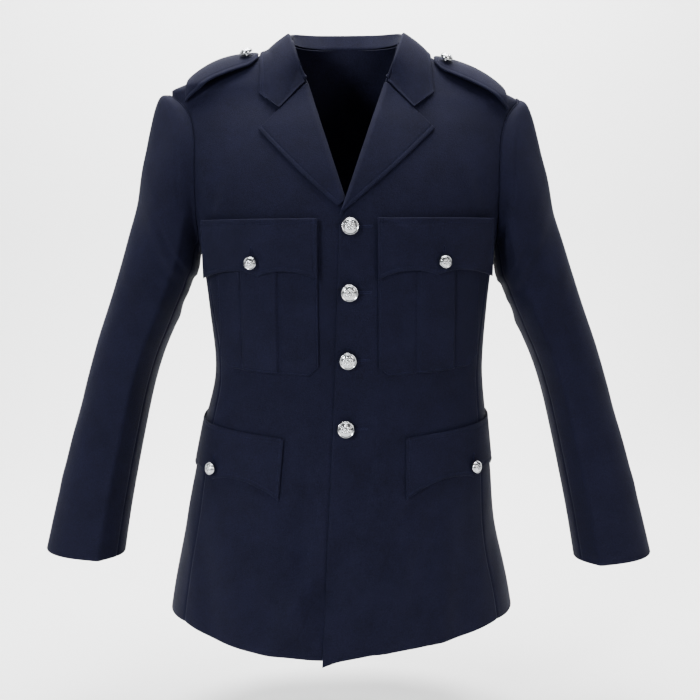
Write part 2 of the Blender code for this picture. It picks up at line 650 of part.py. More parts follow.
def sleeve_relief(at, angle):
    """Pressed creases and soft folds of a sleeve, as height over its ring."""
    def away(middle):
        return np.abs((angle - middle + 180.0) % 360.0 - 180.0)[None, :]
    station = at[:, None]
    fade = np.clip(station * 3.0 - 0.2, 0.0, 1.0)
    relief = CREASE_HEIGHT * np.exp(-away(CREASE_ANGLE) / 16.0) * fade
    relief = relief + 0.7 * CREASE_HEIGHT * np.exp(-away(BACK_CREASE_ANGLE) / 18.0) * fade
    for along, middle, length, width, slant, height in SLEEVE_FOLDS:
        signed = ((angle - middle + 180.0) % 360.0 - 180.0)[None, :]
        line = station - along - slant * signed / 60.0
        relief = relief + height * np.exp(-(line / length) ** 2 - (signed / width) ** 2)
    return relief


def make_sleeves(material):
    at = np.concatenate([np.linspace(0.0, 6.0, 9)[:-1], np.linspace(6.0, 14.0, 10)]) / 14.0
    gap = 0.5
    pieces = (("top_sleeve", HINDARM_SEAM - 360.0 + gap, FOREARM_SEAM - gap, 15),
              ("under_sleeve", FOREARM_SEAM + gap, HINDARM_SEAM - gap, 7))
    for side, end in ((1, "_left"), (-1, "_right")):
        for name, first, last, columns in pieces:
            angle = np.linspace(first, last, columns)
            outer = sleeve_points(side, at, angle)
            step = 0.5
            wide = sleeve_points(side, at, np.concatenate([[first - step], angle, [last + step]]))
            normal = grid_normals(wide)[:, 1:-1] * side
            add_wall(name + end, outer, outer - normal * SLEEVE_CLOTH, material)


def scallop(share, drop):
    """Depth of a three-pointed flap: corners and middle point, arcs between."""
    two = np.abs(2 * share - 1)
    base = drop["point"] + (drop["corner"] - drop["point"]) * two
    arc = (drop["point"] + drop["corner"]) / 2 - drop["arc"]
    return base - arc * np.sin(np.pi * two) ** 0.8


def make_breast_pockets(material):
    """Patch pockets with a raised box pleat down the middle."""
    rows = 8
    pleat = np.array((-1.0, -0.86, 0.86, 1.0)) * PLEAT_HALF + PLEAT_MIDDLE
    columns = np.concatenate([np.linspace(POCKET_INNER, pleat[0], 4),
                              pleat[1:2], [PLEAT_MIDDLE], pleat[2:3],
                              np.linspace(pleat[3], POCKET_OUTER, 4)])
    raised = np.array([0, 0, 0, 0, 1, 1, 1, 0, 0, 0, 0]) * PLEAT_HEIGHT
    for side, name in ((1, "breast_pocket_left"), (-1, "breast_pocket_right")):
        share = np.linspace(0.0, 1.0, rows)[:, None]
        bottom = POCKET_BOTTOM + 9.0 * (columns - POCKET_INNER) / (POCKET_OUTER - POCKET_INNER)
        from_corner = np.minimum(columns - POCKET_INNER, POCKET_OUTER - columns)
        bottom = bottom + np.maximum(POCKET_CORNER - from_corner, 0.0)
        z = POCKET_TOP + (bottom - POCKET_TOP)[None, :] * share
        x = side * np.broadcast_to(columns, z.shape)
        points = np.stack([x, on_front(x, z), z], -1)
        extra = lap(x) if side > 0 else 0.0
        body_wall(name, points, extra + LAYER_GAP + POCKET_CLOTH + raised, POCKET_CLOTH,
                  material)


def make_breast_flaps(material):
    flap = BREAST_FLAP
    share = np.linspace(0.0, 1.0, 13)
    over_pleat = LAYER_GAP + POCKET_CLOTH + PLEAT_HEIGHT + LAYER_GAP + FLAP_CLOTH
    for side, name in ((1, "breast_flap_left"), (-1, "breast_flap_right")):
        down = np.linspace(0.0, 1.0, 6)[:, None]
        across = flap["inner"] + (flap["outer"] - flap["inner"]) * share
        z = flap["top"] - down * scallop(share, BREAST_FLAP_DROP)[None, :]
        x = side * np.broadcast_to(across, z.shape)
        points = np.stack([x, on_front(x, z), z], -1)
        extra = lap(x) if side > 0 else 0.0
        body_wall(name, points, extra + over_pleat, FLAP_CLOTH, material)


def ring_place(side, run, z):
    """Points on the body at a distance along the ring from the middle front."""
    points = np.empty(z.shape + (3,))
    turn = np.linspace(0.0, np.pi * 0.75, 600)
    for index in np.ndindex(z.shape):
        level = np.array([z[index]])
        half, front, back, power, swing = (v[0] for v in ring(np.array([side * 1000.0]), level))
        sine, cosine = np.sin(turn), np.cos(turn)
        x = half * np.abs(sine) ** (2 / power)
        y = -np.sign(cosine) * np.where(cosine > 0, front, back) * np.abs(cosine) ** (2 / power)
        length = np.concatenate([[0.0], np.cumsum(np.hypot(np.diff(x), np.diff(y)))])
        points[index] = (swing + side * np.interp(run[index], length, x),
                         np.interp(run[index], length, y), level[0])
    return points


def skirt_flap_grid(side, columns, rows):
    share = np.linspace(0.0, 1.0, columns)
    down = np.linspace(0.0, 1.0, rows)[:, None]
    top = SKIRT_FLAP_TOP + SKIRT_FLAP_RISE * share ** 0.8
    z = top[None, :] - down * scallop(share, SKIRT_FLAP_DROP)[None, :]
    run = SKIRT_FLAP_INNER + SKIRT_FLAP_WIDTH * share + 4.0 * down * (1 - 2 * share)
    return ring_place(side, np.broadcast_to(run, z.shape), z)


def make_skirt_flaps(material):
    for side, name in ((1, "skirt_flap_left"), (-1, "skirt_flap_right")):
        points = skirt_flap_grid(side, 13, 6)
        body_wall(name, points, LAYER_GAP + FLAP_CLOTH, FLAP_CLOTH, material)


def over_shoulder(side, x, run):
    """Point over the shoulder at a distance x, a run to the front of the seam."""
    y = np.linspace(20.0, -75.0, 96)
    low, high = np.full_like(y, -190.0), np.full_like(y, 40.0)
    for _ in range(36):
        z = (low + high) / 2
        inside = body_level(np.stack([np.full_like(y, side * x), y, z], -1)) < 0
        low, high = np.where(inside, z, low), np.where(inside, high, z)
    length = np.concatenate([[0.0], np.cumsum(np.hypot(np.diff(y), np.diff(z)))])
    length -= np.interp(0.0, -y, length)
    return np.stack([np.full_like(run, side * x), np.interp(-run, length, y),
                     np.interp(-run, length, z)], -1)


def strap_points(side, along, across):
    """Shoulder strap over the front of the shoulder, from sleeve to collar."""
    x = STRAP_OUTER + (STRAP_INNER - STRAP_OUTER) * along
    half = STRAP_HALF - STRAP_TAPER * along
    nose = np.clip((along - 0.86) / 0.14, 0.0, 1.0)
    half = half * np.sqrt(1 - 0.80 * nose ** 2)
    slant = 5.0 * (1 - along)
    rows = [over_shoulder(side, x[k] - slant[k], STRAP_MIDDLE + across * half[k])
            for k in range(len(along))]
    return np.array(rows)


def strap_height(along):
    return LAYER_GAP + FLAP_CLOTH + STRAP_LIFT * np.sin(np.pi * along ** 0.8) ** 0.7


def make_straps(material):
    along = np.array((0.0, 0.12, 0.26, 0.40, 0.54, 0.68, 0.79, 0.87, 0.93, 0.97, 1.0))
    across = np.linspace(-1.0, 1.0, 6)
    for side, name in ((1, "epaulette_left"), (-1, "epaulette_right")):
        points = strap_points(side, along, across)
        body_wall(name, points, strap_height(along)[:, None], FLAP_CLOTH, material)


def button_profile(size):
    """Half section of a domed button and its shank: radius and height."""
    radius = size / 2
    dome = [(radius * np.cos(turn), SHANK + 1.4 + radius * 0.52 * np.sin(turn))
            for turn in np.radians((0.0, 22.0, 45.0, 68.0))]
    return ([(radius * 0.30, 0.0), (radius * 0.30, SHANK), (radius * 0.93, SHANK + 0.3)]
            + dome)


def add_button(name, seat, normal, size, material, sides=12):
    """Turned button on a seat; both ends close on a pole."""
    profile = np.array(button_profile(size))
    normal = normal / np.linalg.norm(normal)
    first = np.cross(normal, (0.0, 0.0, 1.0))
    first /= np.linalg.norm(first)
    second = np.cross(normal, first)
    turn = np.linspace(0.0, 2 * np.pi, sides, endpoint=False)
    spoke = np.cos(turn)[:, None] * first + np.sin(turn)[:, None] * second
    base = seat + normal * BUTTON_GAP
    rings = base + profile[:, 1, None, None] * normal + profile[:, 0, None, None] * spoke[None]
    top = base + normal * (SHANK + 1.4 + size * 0.26)
    points = np.concatenate([rings.reshape(-1, 3), [base, top]])
    number = np.arange(len(profile) * sides).reshape(len(profile), sides)
    after = np.roll(number, -1, axis=1)
    walls = np.stack([number[:-1], after[:-1], after[1:], number[1:]], -1).reshape(-1, 4)
    foot = np.stack([np.full(sides, points.shape[0] - 2), after[0], number[0]], 1)
    cap = np.stack([np.full(sides, points.shape[0] - 1), number[-1], after[-1]], 1)
    add_object(name, points, walls.tolist() + foot.tolist() + cap.tolist(), material)


def seat_button(name, point, height, size, material):
    """Button standing on the cloth at a point of the body."""
    seat = place(np.array([point]), height)
    _, normal = body_distance(seat)
    add_button(name, seat[0], normal[0], size, material)


def make_buttons(material):
    for number, (x, z) in enumerate(FRONT_BUTTONS):
        point = (x, on_front(np.array([x]), np.array([z]))[0], z)
        seat_button("button_front_%d" % (number + 1), point, LAP_HEIGHT, LARGE_BUTTON, material)
    flap_top = LAYER_GAP + POCKET_CLOTH + PLEAT_HEIGHT + LAYER_GAP + FLAP_CLOTH
    for side, end in ((1, "_left"), (-1, "_right")):
        x, z = side * BREAST_BUTTON[0], BREAST_BUTTON[1]
        point = (x, on_front(np.array([x]), np.array([z]))[0], z)
        seat_button("button_breast" + end, point, flap_top, SMALL_BUTTON, material)
        run = np.array([[SKIRT_FLAP_INNER + SKIRT_FLAP_WIDTH * 0.5]])
        level = np.array([[SKIRT_FLAP_TOP + SKIRT_FLAP_RISE * 0.5 ** 0.8 - SKIRT_BUTTON_DOWN]])
        point = ring_place(side, run, level)[0, 0]
        seat_button("button_skirt" + end, point, LAYER_GAP + FLAP_CLOTH, SMALL_BUTTON, material)
        along = np.array([(STRAP_BUTTON - STRAP_OUTER) / (STRAP_INNER - STRAP_OUTER)])
        point = strap_points(side, along, np.zeros(1))[0, 0]
        seat_button("button_epaulette" + end, point, strap_height(along)[0], SMALL_BUTTON, material)


def main():
    clear_scene()
    navy = make_material("navy_barathea", (0.013, 0.015, 0.034), 0.85)
    chrome = make_material("chromed_brass", (0.80, 0.80, 0.82), 0.18, 1.0)
    make_fronts(navy)
    make_backs(navy)
    make_sides(navy)
    make_lapels(navy)
    make_collar(navy)
    make_sleeves(navy)
    make_breast_pockets(navy)
    make_breast_flaps(navy)
    make_skirt_flaps(navy)
    make_straps(navy)
    make_buttons(chrome)


main()
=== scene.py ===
import bpy
import numpy as np
from mathutils import Matrix, Vector


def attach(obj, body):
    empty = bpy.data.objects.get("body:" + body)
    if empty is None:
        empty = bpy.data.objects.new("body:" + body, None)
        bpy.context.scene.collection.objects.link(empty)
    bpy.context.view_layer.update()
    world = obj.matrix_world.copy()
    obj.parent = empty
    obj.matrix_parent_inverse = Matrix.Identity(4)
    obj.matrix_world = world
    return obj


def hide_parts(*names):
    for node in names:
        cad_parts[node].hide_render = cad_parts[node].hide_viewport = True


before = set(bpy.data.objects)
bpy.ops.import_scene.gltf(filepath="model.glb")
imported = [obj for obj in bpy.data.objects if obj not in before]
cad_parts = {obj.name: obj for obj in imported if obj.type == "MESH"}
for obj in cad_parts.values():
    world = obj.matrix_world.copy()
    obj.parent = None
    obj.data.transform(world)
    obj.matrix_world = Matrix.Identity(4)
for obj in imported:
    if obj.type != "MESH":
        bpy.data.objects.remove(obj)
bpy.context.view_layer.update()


# All lengths below are millimetres; meshes are turned into metres when made.
# The wearer's left is +x, the front is -y and up is +z.
body = {
    "cloth": 2.0,
    "layerGap": 1.0,
    "seamGap": 0.02,
    "armholeGap": -1.2,
    "neckHalf": 72.0,
    "neckHeight": 18.0,
    "neckTop": 24.0,
    "neckRise": 1.0,
    "shoulderRun": {1: 2.10, -1: 2.75},
    "shoulderDrop": {1: 56.0, -1: 47.0},
    "cornerSoftness": 5.0,
    "frontHem": -787.0,
    "sideHem": -752.0,
    "backHem": -764.0,
    "lapHeight": 3.6,
    "lapFlat": 30.0,
    "lapEnd": 62.0,
    "underEdge": 22.0,
    "hemLift": {1: 15.0, -1: 5.0},
    "edgeLift": {1: 0.0, -1: 17.0},
    "hemCorner": 0.14,
    "armholeBottom": -258.0,
    "armholeFront": 62.0,
    "armholeBack": 67.0,
    "foldTurn": 12.0,
    "gradientStep": 0.05,
}

# height, half width, depth to the front, depth to the back, roundness, sideways swing
bodyRings = np.array([
    (40.0, 240.0, 56.0, 58.0, 2.0, 0.0),
    (0.0, 239.0, 60.0, 62.0, 2.0, 0.0),
    (-50.0, 236.0, 70.0, 76.0, 2.05, 0.0),
    (-100.0, 232.0, 94.0, 100.0, 2.2, 0.0),
    (-150.0, 223.0, 112.0, 114.0, 2.35, 0.0),
    (-200.0, 211.0, 122.0, 120.0, 2.45, 0.0),
    (-258.0, 198.0, 126.0, 121.0, 2.5, 0.0),
    (-330.0, 189.0, 124.0, 115.0, 2.5, 0.0),
    (-424.0, 184.0, 119.0, 108.0, 2.45, 0.0),
    (-490.0, 195.0, 124.0, 115.0, 2.4, -5.0),
    (-560.0, 206.0, 131.0, 127.0, 2.35, -9.0),
    (-640.0, 218.0, 137.0, 138.0, 2.3, -13.0),
    (-720.0, 235.0, 143.0, 147.0, 2.3, -13.0),
    (-800.0, 248.0, 148.0, 154.0, 2.3, -13.0),
])
ringHalf, ringFront, ringBack, ringPower, ringSwing = range(1, 6)

# x, front or back, height, lean in degrees, half length, half width, rise
bodyFolds = np.array([
    (-70.0, -1, -715.0, -38.0, 95.0, 26.0, 4.5),
    (-58.0, -1, -650.0, -20.0, 85.0, 20.0, -4.0),
    (-150.0, -1, -700.0, -8.0, 90.0, 24.0, 3.0),
    (-190.0, -1, -720.0, -4.0, 80.0, 16.0, -3.0),
    (30.0, -1, -560.0, 28.0, 90.0, 24.0, -3.0),
    (60.0, -1, -690.0, 6.0, 100.0, 30.0, 3.5),
    (150.0, -1, -700.0, 8.0, 90.0, 24.0, -3.0),
    (120.0, -1, -450.0, 60.0, 45.0, 14.0, -2.0),
    (-120.0, -1, -455.0, -60.0, 45.0, 14.0, -2.0),
    (-110.0, 1, -690.0, -5.0, 110.0, 26.0, 5.0),
    (-45.0, 1, -720.0, 3.0, 90.0, 22.0, -4.0),
    (55.0, 1, -700.0, 4.0, 100.0, 24.0, 4.5),
    (130.0, 1, -690.0, 7.0, 100.0, 26.0, -4.0),
    (-70.0, 1, -420.0, 75.0, 60.0, 12.0, -2.5),
    (75.0, 1, -436.0, -78.0, 60.0, 12.0, -2.5),
    (-150.0, 1, -300.0, 25.0, 80.0, 16.0, 3.5),
    (152.0, 1, -310.0, -22.0, 80.0, 16.0, 3.5),
])

# The same columns: smaller creases that only show in the cloth
bodyCreases = np.array([
    (-176.0, -1, -205.0, 14.0, 46.0, 7.0, -1.6),
    (-160.0, -1, -190.0, 22.0, 40.0, 8.0, 1.2),
    (178.0, -1, -208.0, -12.0, 48.0, 7.0, -1.8),
    (163.0, -1, -186.0, -24.0, 42.0, 8.0, 1.3),
    (-30.0, -1, -456.0, 74.0, 34.0, 5.0, -1.1),
    (-62.0, -1, -478.0, 64.0, 40.0, 6.0, 1.0),
    (44.0, -1, -452.0, -70.0, 36.0, 5.0, -1.2),
    (66.0, -1, -474.0, -60.0, 38.0, 6.0, 0.9),
    (28.0, -1, -533.0, 26.0, 62.0, 11.0, -3.6),
    (-52.0, -1, -590.0, 6.0, 70.0, 12.0, -3.6),
    (-96.0, -1, -610.0, -30.0, 80.0, 13.0, 2.6),
    (-36.0, -1, -735.0, -24.0, 52.0, 10.0, -3.0),
    (-71.0, -1, -712.0, 32.0, 80.0, 13.0, 6.0),
    (-46.0, -1, -728.0, 30.0, 62.0, 11.0, -5.0),
    (14.0, -1, -640.0, 16.0, 80.0, 11.0, 2.4),
    (70.0, -1, -610.0, 26.0, 92.0, 12.0, -2.8),
    (96.0, -1, -655.0, 12.0, 80.0, 13.0, -3.8),
    (32.0, -1, -735.0, 8.0, 60.0, 12.0, -3.6),
    (122.0, -1, -742.0, 4.0, 60.0, 13.0, 3.6),
    (196.0, -1, -640.0, 6.0, 70.0, 12.0, -1.6),
    (-214.0, -1, -640.0, -6.0, 70.0, 12.0, 1.6),
    (-90.0, 1, -150.0, 40.0, 46.0, 11.0, 1.3),
    (92.0, 1, -160.0, -38.0, 46.0, 11.0, 1.3),
    (-104.0, 1, -392.0, 66.0, 50.0, 8.0, 1.4),
    (96.0, 1, -398.0, -68.0, 48.0, 8.0, 1.3),
    (-36.0, 1, -452.0, 80.0, 40.0, 7.0, -1.3),
    (40.0, 1, -470.0, -74.0, 44.0, 8.0, 1.2),
    (0.0, 1, -640.0, 2.0, 120.0, 12.0, -2.0),
    (0.0, 1, -60.0, 88.0, 60.0, 9.0, -1.2),
])

# height against x of the lapping edge, and against the share of the half width
# at which each side seam lies
lapEdge = np.array([(-787.0, -37.0), (-480.0, -20.5), (-314.0, -13.7), (-222.0, -9.8)])
seamFront = np.array([(-800.0, 0.88), (-600.0, 0.895), (-424.0, 0.93), (-232.0, 0.962)])
seamBack = np.array([(-800.0, 0.90), (-600.0, 0.91), (-424.0, 0.935), (-225.0, 0.955)])

# Roll line of the lapels, as distance from the middle and height
gorge = np.array((49.6, -41.0))
notchPoint = np.array((85.5, -74.3))
lapelPeak = np.array((111.3, -101.4))
rollBreak = {1: np.array((-5.5, -200.0)), -1: np.array((2.0, -191.0))}
lapelFoot = {1: np.array((-9.6, -209.0)), -1: np.array((12.0, -198.0))}


def smoothRows(table, at, column):
    # Cubic through a table's rows: Hermite polynomials of the share between
    # two rows, with slopes from the rows on either side.
    order = np.argsort(table[:, 0])
    knots, values = table[order, 0], table[order, column]
    slopes = np.gradient(values, knots)
    place = np.clip(np.searchsorted(knots, at) - 1, 0, len(knots) - 2)
    width = knots[place + 1] - knots[place]
    part = np.clip((at - knots[place]) / width, 0.0, 1.0)
    low, high = values[place], values[place + 1]
    riseLow, riseHigh = slopes[place] * width, slopes[place + 1] * width
    square, cube = part ** 2, part ** 3
    return (low * (2 * cube - 3 * square + 1) + riseLow * (cube - 2 * square + part)
            + high * (3 * square - 2 * cube) + riseHigh * (cube - square))


def halfWidth(z, side):
    # The smaller of the shoulder slope and the side wall, with a soft corner:
    # low - softness * log(1 + exp(-apart)).
    run = np.where(side > 0, body["shoulderRun"][1], body["shoulderRun"][-1])
    slope = body["neckHalf"] + run * (body["neckHeight"] - np.minimum(z, body["neckTop"]))
    wall = smoothRows(bodyRings, z, ringHalf)
    soft = body["cornerSoftness"]
    apart = np.abs(slope - wall) / soft
    return np.maximum(np.minimum(slope, wall) - soft * np.log1p(np.exp(-apart)), 1.0)


def ringSizes(x, z):
    # Half width, depths, roundness and swing of the ring at each point.
    swing = smoothRows(bodyRings, z, ringSwing)
    return (halfWidth(z, np.sign(x - swing)), smoothRows(bodyRings, z, ringFront),
            smoothRows(bodyRings, z, ringBack), smoothRows(bodyRings, z, ringPower), swing)


def onFront(x, z, facing=-1):
    # y on the ring: depth * (1 - |x / half|^power)^(1 / power).
    half, front, back, power, swing = ringSizes(x, z)
    depth = front if facing < 0 else back
    share = np.clip(np.abs(x - swing) / half, 0.0, 1.0)
    return facing * depth * (1 - share ** power) ** (1 / power)


def onSide(y, z, side):
    # x on the ring: half * (1 - |y / depth|^power)^(1 / power).
    half, front, back, power, swing = ringSizes(np.full_like(z, side * 1000.0), z)
    depth = np.where(y < 0, front, back)
    share = np.clip(np.abs(y) / depth, 0.0, 1.0)
    return swing + side * half * (1 - share ** power) ** (1 / power)


def bodyLevel(points):
    # |x / half|^power + |y / depth|^power - 1: under 0 inside, over 0 outside.
    x, y, z = points[..., 0], points[..., 1], points[..., 2]
    half, front, back, power, swing = ringSizes(x, z)
    depth = np.where(y < 0, front, back)
    return (np.abs(x - swing) / half) ** power + (np.abs(y) / depth) ** power - 1


def bodyDistance(points):
    # Level over the length of its gradient, and the gradient's direction.
    step = body["gradientStep"]
    gradient = np.stack([
        (bodyLevel(points + step * axis) - bodyLevel(points - step * axis)) / (2 * step)
        for axis in np.eye(3)], axis=-1)
    size = np.linalg.norm(gradient, axis=-1)
    return bodyLevel(points) / size, gradient / size[..., None]


def foldHeight(points, table):
    # Sum of rise * exp(-(across / width)^2 - (along / length)^2) on one face.
    total = np.zeros(points.shape[:-1])
    for x, face, z, lean, length, width, rise in table:
        turn = np.radians(lean)
        across = (points[..., 0] - x) * np.cos(turn) - (points[..., 2] - z) * np.sin(turn)
        along = (points[..., 0] - x) * np.sin(turn) + (points[..., 2] - z) * np.cos(turn)
        sameFace = 1 / (1 + np.exp(-face * points[..., 1] / body["foldTurn"]))
        total += rise * sameFace * np.exp(-(across / width) ** 2 - (along / length) ** 2)
    return total


def placeOn(points, height, folded=True):
    # Moves points along the body's normal until they lie at a height over it.
    moved = points.copy()
    target = height + (foldHeight(points, bodyFolds) if folded else 0.0)
    for _ in range(5):
        distance, normal = bodyDistance(moved)
        moved += normal * (target - distance)[..., None]
    return moved


def liftOff(points, clearance):
    # Pushes points out of the body to at least a clearance.
    moved = points.copy()
    for _ in range(4):
        distance, normal = bodyDistance(moved)
        moved += normal * np.maximum(clearance - distance, 0.0)[..., None]
    return moved


def liftNearby(points, clearance):
    # The same, only where points are already nearly outside.
    distance, _ = bodyDistance(points)
    return np.where((distance > -1.5)[..., None], liftOff(points, clearance), points)


def gridNormals(grid):
    # Cross product of the running differences across and down a grid.
    normal = np.cross(np.gradient(grid, axis=1), np.gradient(grid, axis=0))
    return normal / np.maximum(np.linalg.norm(normal, axis=-1), 1e-9)[..., None]


def spreadEnds(count, close):
    # t - close * sin(2 pi t) / (2 pi): crowds shares 0 to 1 at both ends.
    t = np.linspace(0.0, 1.0, count)
    return t - close * np.sin(2 * np.pi * t) / (2 * np.pi)


def spreadStart(count, close):
    # t - close * sin(pi t) / pi: crowds shares 0 to 1 at the start.
    t = np.linspace(0.0, 1.0, count)
    return t - close * np.sin(np.pi * t) / np.pi


# Rows of stitches by piece, filled in as the cloth is made
stitchRows = {}


def edgeDistances(grid):
    # Running length of the grid lines, from each of its four borders.
    across = np.linalg.norm(np.diff(grid, axis=1), axis=-1)
    down = np.linalg.norm(np.diff(grid, axis=0), axis=-1)
    fromFirst = np.concatenate([np.zeros((grid.shape[0], 1)), np.cumsum(across, 1)], 1)
    fromTop = np.concatenate([np.zeros((1, grid.shape[1])), np.cumsum(down, 0)], 0)
    return {"first": fromFirst, "last": fromFirst[:, -1:] - fromFirst,
            "start": fromTop, "end": fromTop[-1:] - fromTop}


def roundOver(distance, radius, depth):
    # Quarter round: depth * (1 - sqrt(1 - (1 - distance / radius)^2)).
    share = np.clip(1 - distance / radius, 0.0, 1.0)
    return depth * (1 - np.sqrt(np.maximum(1 - share ** 2, 0.0)))


def stitchGroove(distance, row, width=1.0, depth=0.4):
    # A soft trough at the stitched row, and a slight swell on its outer side.
    swell = 0.35 * depth * np.exp(-((distance - row * 0.5) / (row * 0.32)) ** 2)
    return swell - depth * np.exp(-((distance - row) / width) ** 2)


def readLine(line, at):
    # Points at shares 0 to 1 of a polyline's length.
    steps = np.linalg.norm(np.diff(line, axis=0), axis=1)
    length = np.concatenate([[0.0], np.cumsum(steps)]) / steps.sum()
    return np.stack([np.interp(at, length, line[:, k]) for k in range(line.shape[1])], -1)


def lapRise(x):
    # Smooth step 3s^2 - 2s^3 of the top front where it lies over the under one.
    share = np.clip((body["lapEnd"] - x) / (body["lapEnd"] - body["lapFlat"]), 0.0, 1.0)
    return body["lapHeight"] * share ** 2 * (3 - 2 * share)


def meshFrom(name, points, quads, triangles=None, uv=None):
    # One mesh from whole arrays; a negative volume turns every face round.
    corners = np.asarray(quads, dtype=np.int32)
    extra = np.zeros((0, 3), np.int32) if triangles is None else np.asarray(triangles, np.int32)
    fan = np.concatenate([corners[:, (0, 1, 2)], corners[:, (0, 2, 3)], extra])
    a, b, c = (points[fan[:, k]] for k in range(3))
    if np.einsum("ij,ij->i", a, np.cross(b, c)).sum() < 0:
        corners, extra = corners[:, ::-1], extra[:, ::-1]
    loops = np.concatenate([corners.ravel(), extra.ravel()])
    sizes = np.concatenate([np.full(len(corners), 4), np.full(len(extra), 3)])
    mesh = bpy.data.meshes.new(name)
    mesh.vertices.add(len(points))
    mesh.vertices.foreach_set("co", (points * 0.001).astype(np.float32).ravel())
    mesh.loops.add(len(loops))
    mesh.loops.foreach_set("vertex_index", loops.astype(np.int32))
    mesh.polygons.add(len(sizes))
    mesh.polygons.foreach_set("loop_start", (np.cumsum(sizes) - sizes).astype(np.int32))
    mesh.polygons.foreach_set("loop_total", sizes.astype(np.int32))
    mesh.update(calc_edges=True)
    if uv is not None:
        layer = mesh.uv_layers.new(name="weave")
        layer.data.foreach_set("uv", (uv[loops] * 0.001).astype(np.float32).ravel())
    mesh.validate()
    mesh.shade_smooth()
    return mesh


def addPiece(name, mesh, node, material, sharp=60.0):
    mesh.set_sharp_from_angle(angle=np.radians(sharp))
    mesh.materials.append(material)
    piece = bpy.data.objects.new(name.replace(" ", "_"), mesh)
    bpy.context.scene.collection.objects.link(piece)
    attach(piece, "root")
    if node:
        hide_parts(node)
    return piece


def addShell(name, node, outer, inner, material):
    # Closed wall between two grids; the weave map runs along the outer grid's lines.
    rows, columns = outer.shape[:2]
    number = np.arange(rows * columns).reshape(rows, columns)
    a, b = number[:-1, :-1].ravel(), number[:-1, 1:].ravel()
    c, d = number[1:, 1:].ravel(), number[1:, :-1].ravel()
    faces = np.stack([a, b, c, d], 1)
    shift = rows * columns
    edge = np.concatenate([number[0, :], number[1:, -1], number[-1, -2::-1],
                           number[-2:0:-1, 0]])
    after = np.roll(edge, -1)
    rims = np.stack([after, edge, edge + shift, after + shift], 1)
    quads = np.concatenate([faces, faces[:, ::-1] + shift, rims])
    points = np.concatenate([outer.reshape(-1, 3), inner.reshape(-1, 3)])
    run = edgeDistances(outer)
    weave = np.stack([run["first"], -run["start"]], -1).reshape(-1, 2)
    mesh = meshFrom(name, points, quads, uv=np.concatenate([weave, weave]))
    piece = addPiece(name, mesh, node, material)
    return piece


def wallOver(name, node, points, height, edgeDrop, cloth, material, sewn=()):
    # Outer face at a height over the body, inner face one cloth below it; the
    # edge drop takes both towards the middle of the cloth. Sewn gives distances
    # from the border and the borders that a row of stitches follows.
    outer = placeOn(points, height - edgeDrop)
    for distance, borders in sewn:
        insetRow(name, outer, distance, borders)
    inner = placeOn(points, np.maximum(height - cloth + edgeDrop, -cloth))
    return addShell(name, node, outer, inner, material)


def segmentGroove(points, first, last, width, depth):
    # -depth * exp(-(distance / width)^2) from a line seen from the front.
    first, last = np.array(first), np.array(last)
    seen = points[..., (0, 2)] - first
    line = last - first
    share = np.clip((seen @ line) / (line @ line), 0.0, 1.0)
    apart = np.linalg.norm(seen - share[..., None] * line, axis=-1)
    return -depth * np.exp(-(apart / width) ** 2)


def armholeAt(angle, side, grow=0.0):
    # Ellipse seen from the side: 0 degrees at the shoulder, 90 in front.
    turn = np.radians(angle)
    top = -body["shoulderDrop"][side]
    middle, reach = (top + body["armholeBottom"]) / 2, (top - body["armholeBottom"]) / 2 + grow
    deep = np.where(np.sin(turn) > 0, body["armholeFront"], body["armholeBack"]) + grow
    y, z = -deep * np.sin(turn), middle + reach * np.cos(turn)
    return np.stack([onSide(y, z, side), y, z], -1)


def seamCorner(side, facing):
    # Armhole angle at which the share of the half width is the side seam's.
    angles = np.linspace(100.0, 172.0, 400) if facing < 0 else np.linspace(260.0, 188.0, 400)
    points = armholeAt(angles, side)
    half, _, _, _, swing = ringSizes(points[:, 0], points[:, 2])
    share = np.abs(points[:, 0] - swing) / half
    table = seamFront if facing < 0 else seamBack
    return angles[np.argmin(np.abs(share - np.interp(points[:, 2], table[:, 0], table[:, 1])))]


def sideSeam(side, facing, rise):
    # The side seam at shares of its height, from the hem to the armhole.
    corner = armholeAt(np.array([seamCorner(side, facing)]), side)[0]
    hem = body["sideHem"] + (body["backHem"] - body["sideHem"]) * (0.5 if facing > 0 else 0.0)
    z = hem + (corner[2] - hem) * rise
    table = seamFront if facing < 0 else seamBack
    share = np.interp(z, table[:, 0], table[:, 1])
    half, front, back, power, _ = ringSizes(np.full_like(z, side * 1000.0), z)
    y = facing * (front if facing < 0 else back) * (1 - share ** power) ** (1 / power)
    y[-1] = corner[1]
    return np.stack([onSide(y, z, side), y, z], -1)


def shoulderHeight(x, side, facing):
    # Height of the shoulder seam, and behind it of the neck's edge.
    z = np.linspace(-80.0, 40.0, 2401)
    half = halfWidth(z, side)
    ridge = np.interp(np.abs(x), half[::-1], z[::-1])
    inside = np.clip(1 - np.abs(x) / body["neckHalf"], 0.0, 1.0)
    neck = body["neckHeight"] + body["neckRise"] * inside ** 1.6
    return np.where(np.abs(x) < body["neckHalf"], neck, ridge) if facing > 0 else ridge


def neckPoint(side):
    z = body["neckHeight"] + np.linspace(-5.0, 5.0, 201)
    half = halfWidth(z, side)
    return np.array((side * body["neckHalf"], np.interp(body["neckHalf"], half[::-1], z[::-1])))


def rollInward():
    # Step from the roll line to the edge that is hidden under the collar.
    roll = (gorge - rollBreak[1]) / np.linalg.norm(gorge - rollBreak[1])
    return np.array((roll[1], -roll[0])) * 3.6


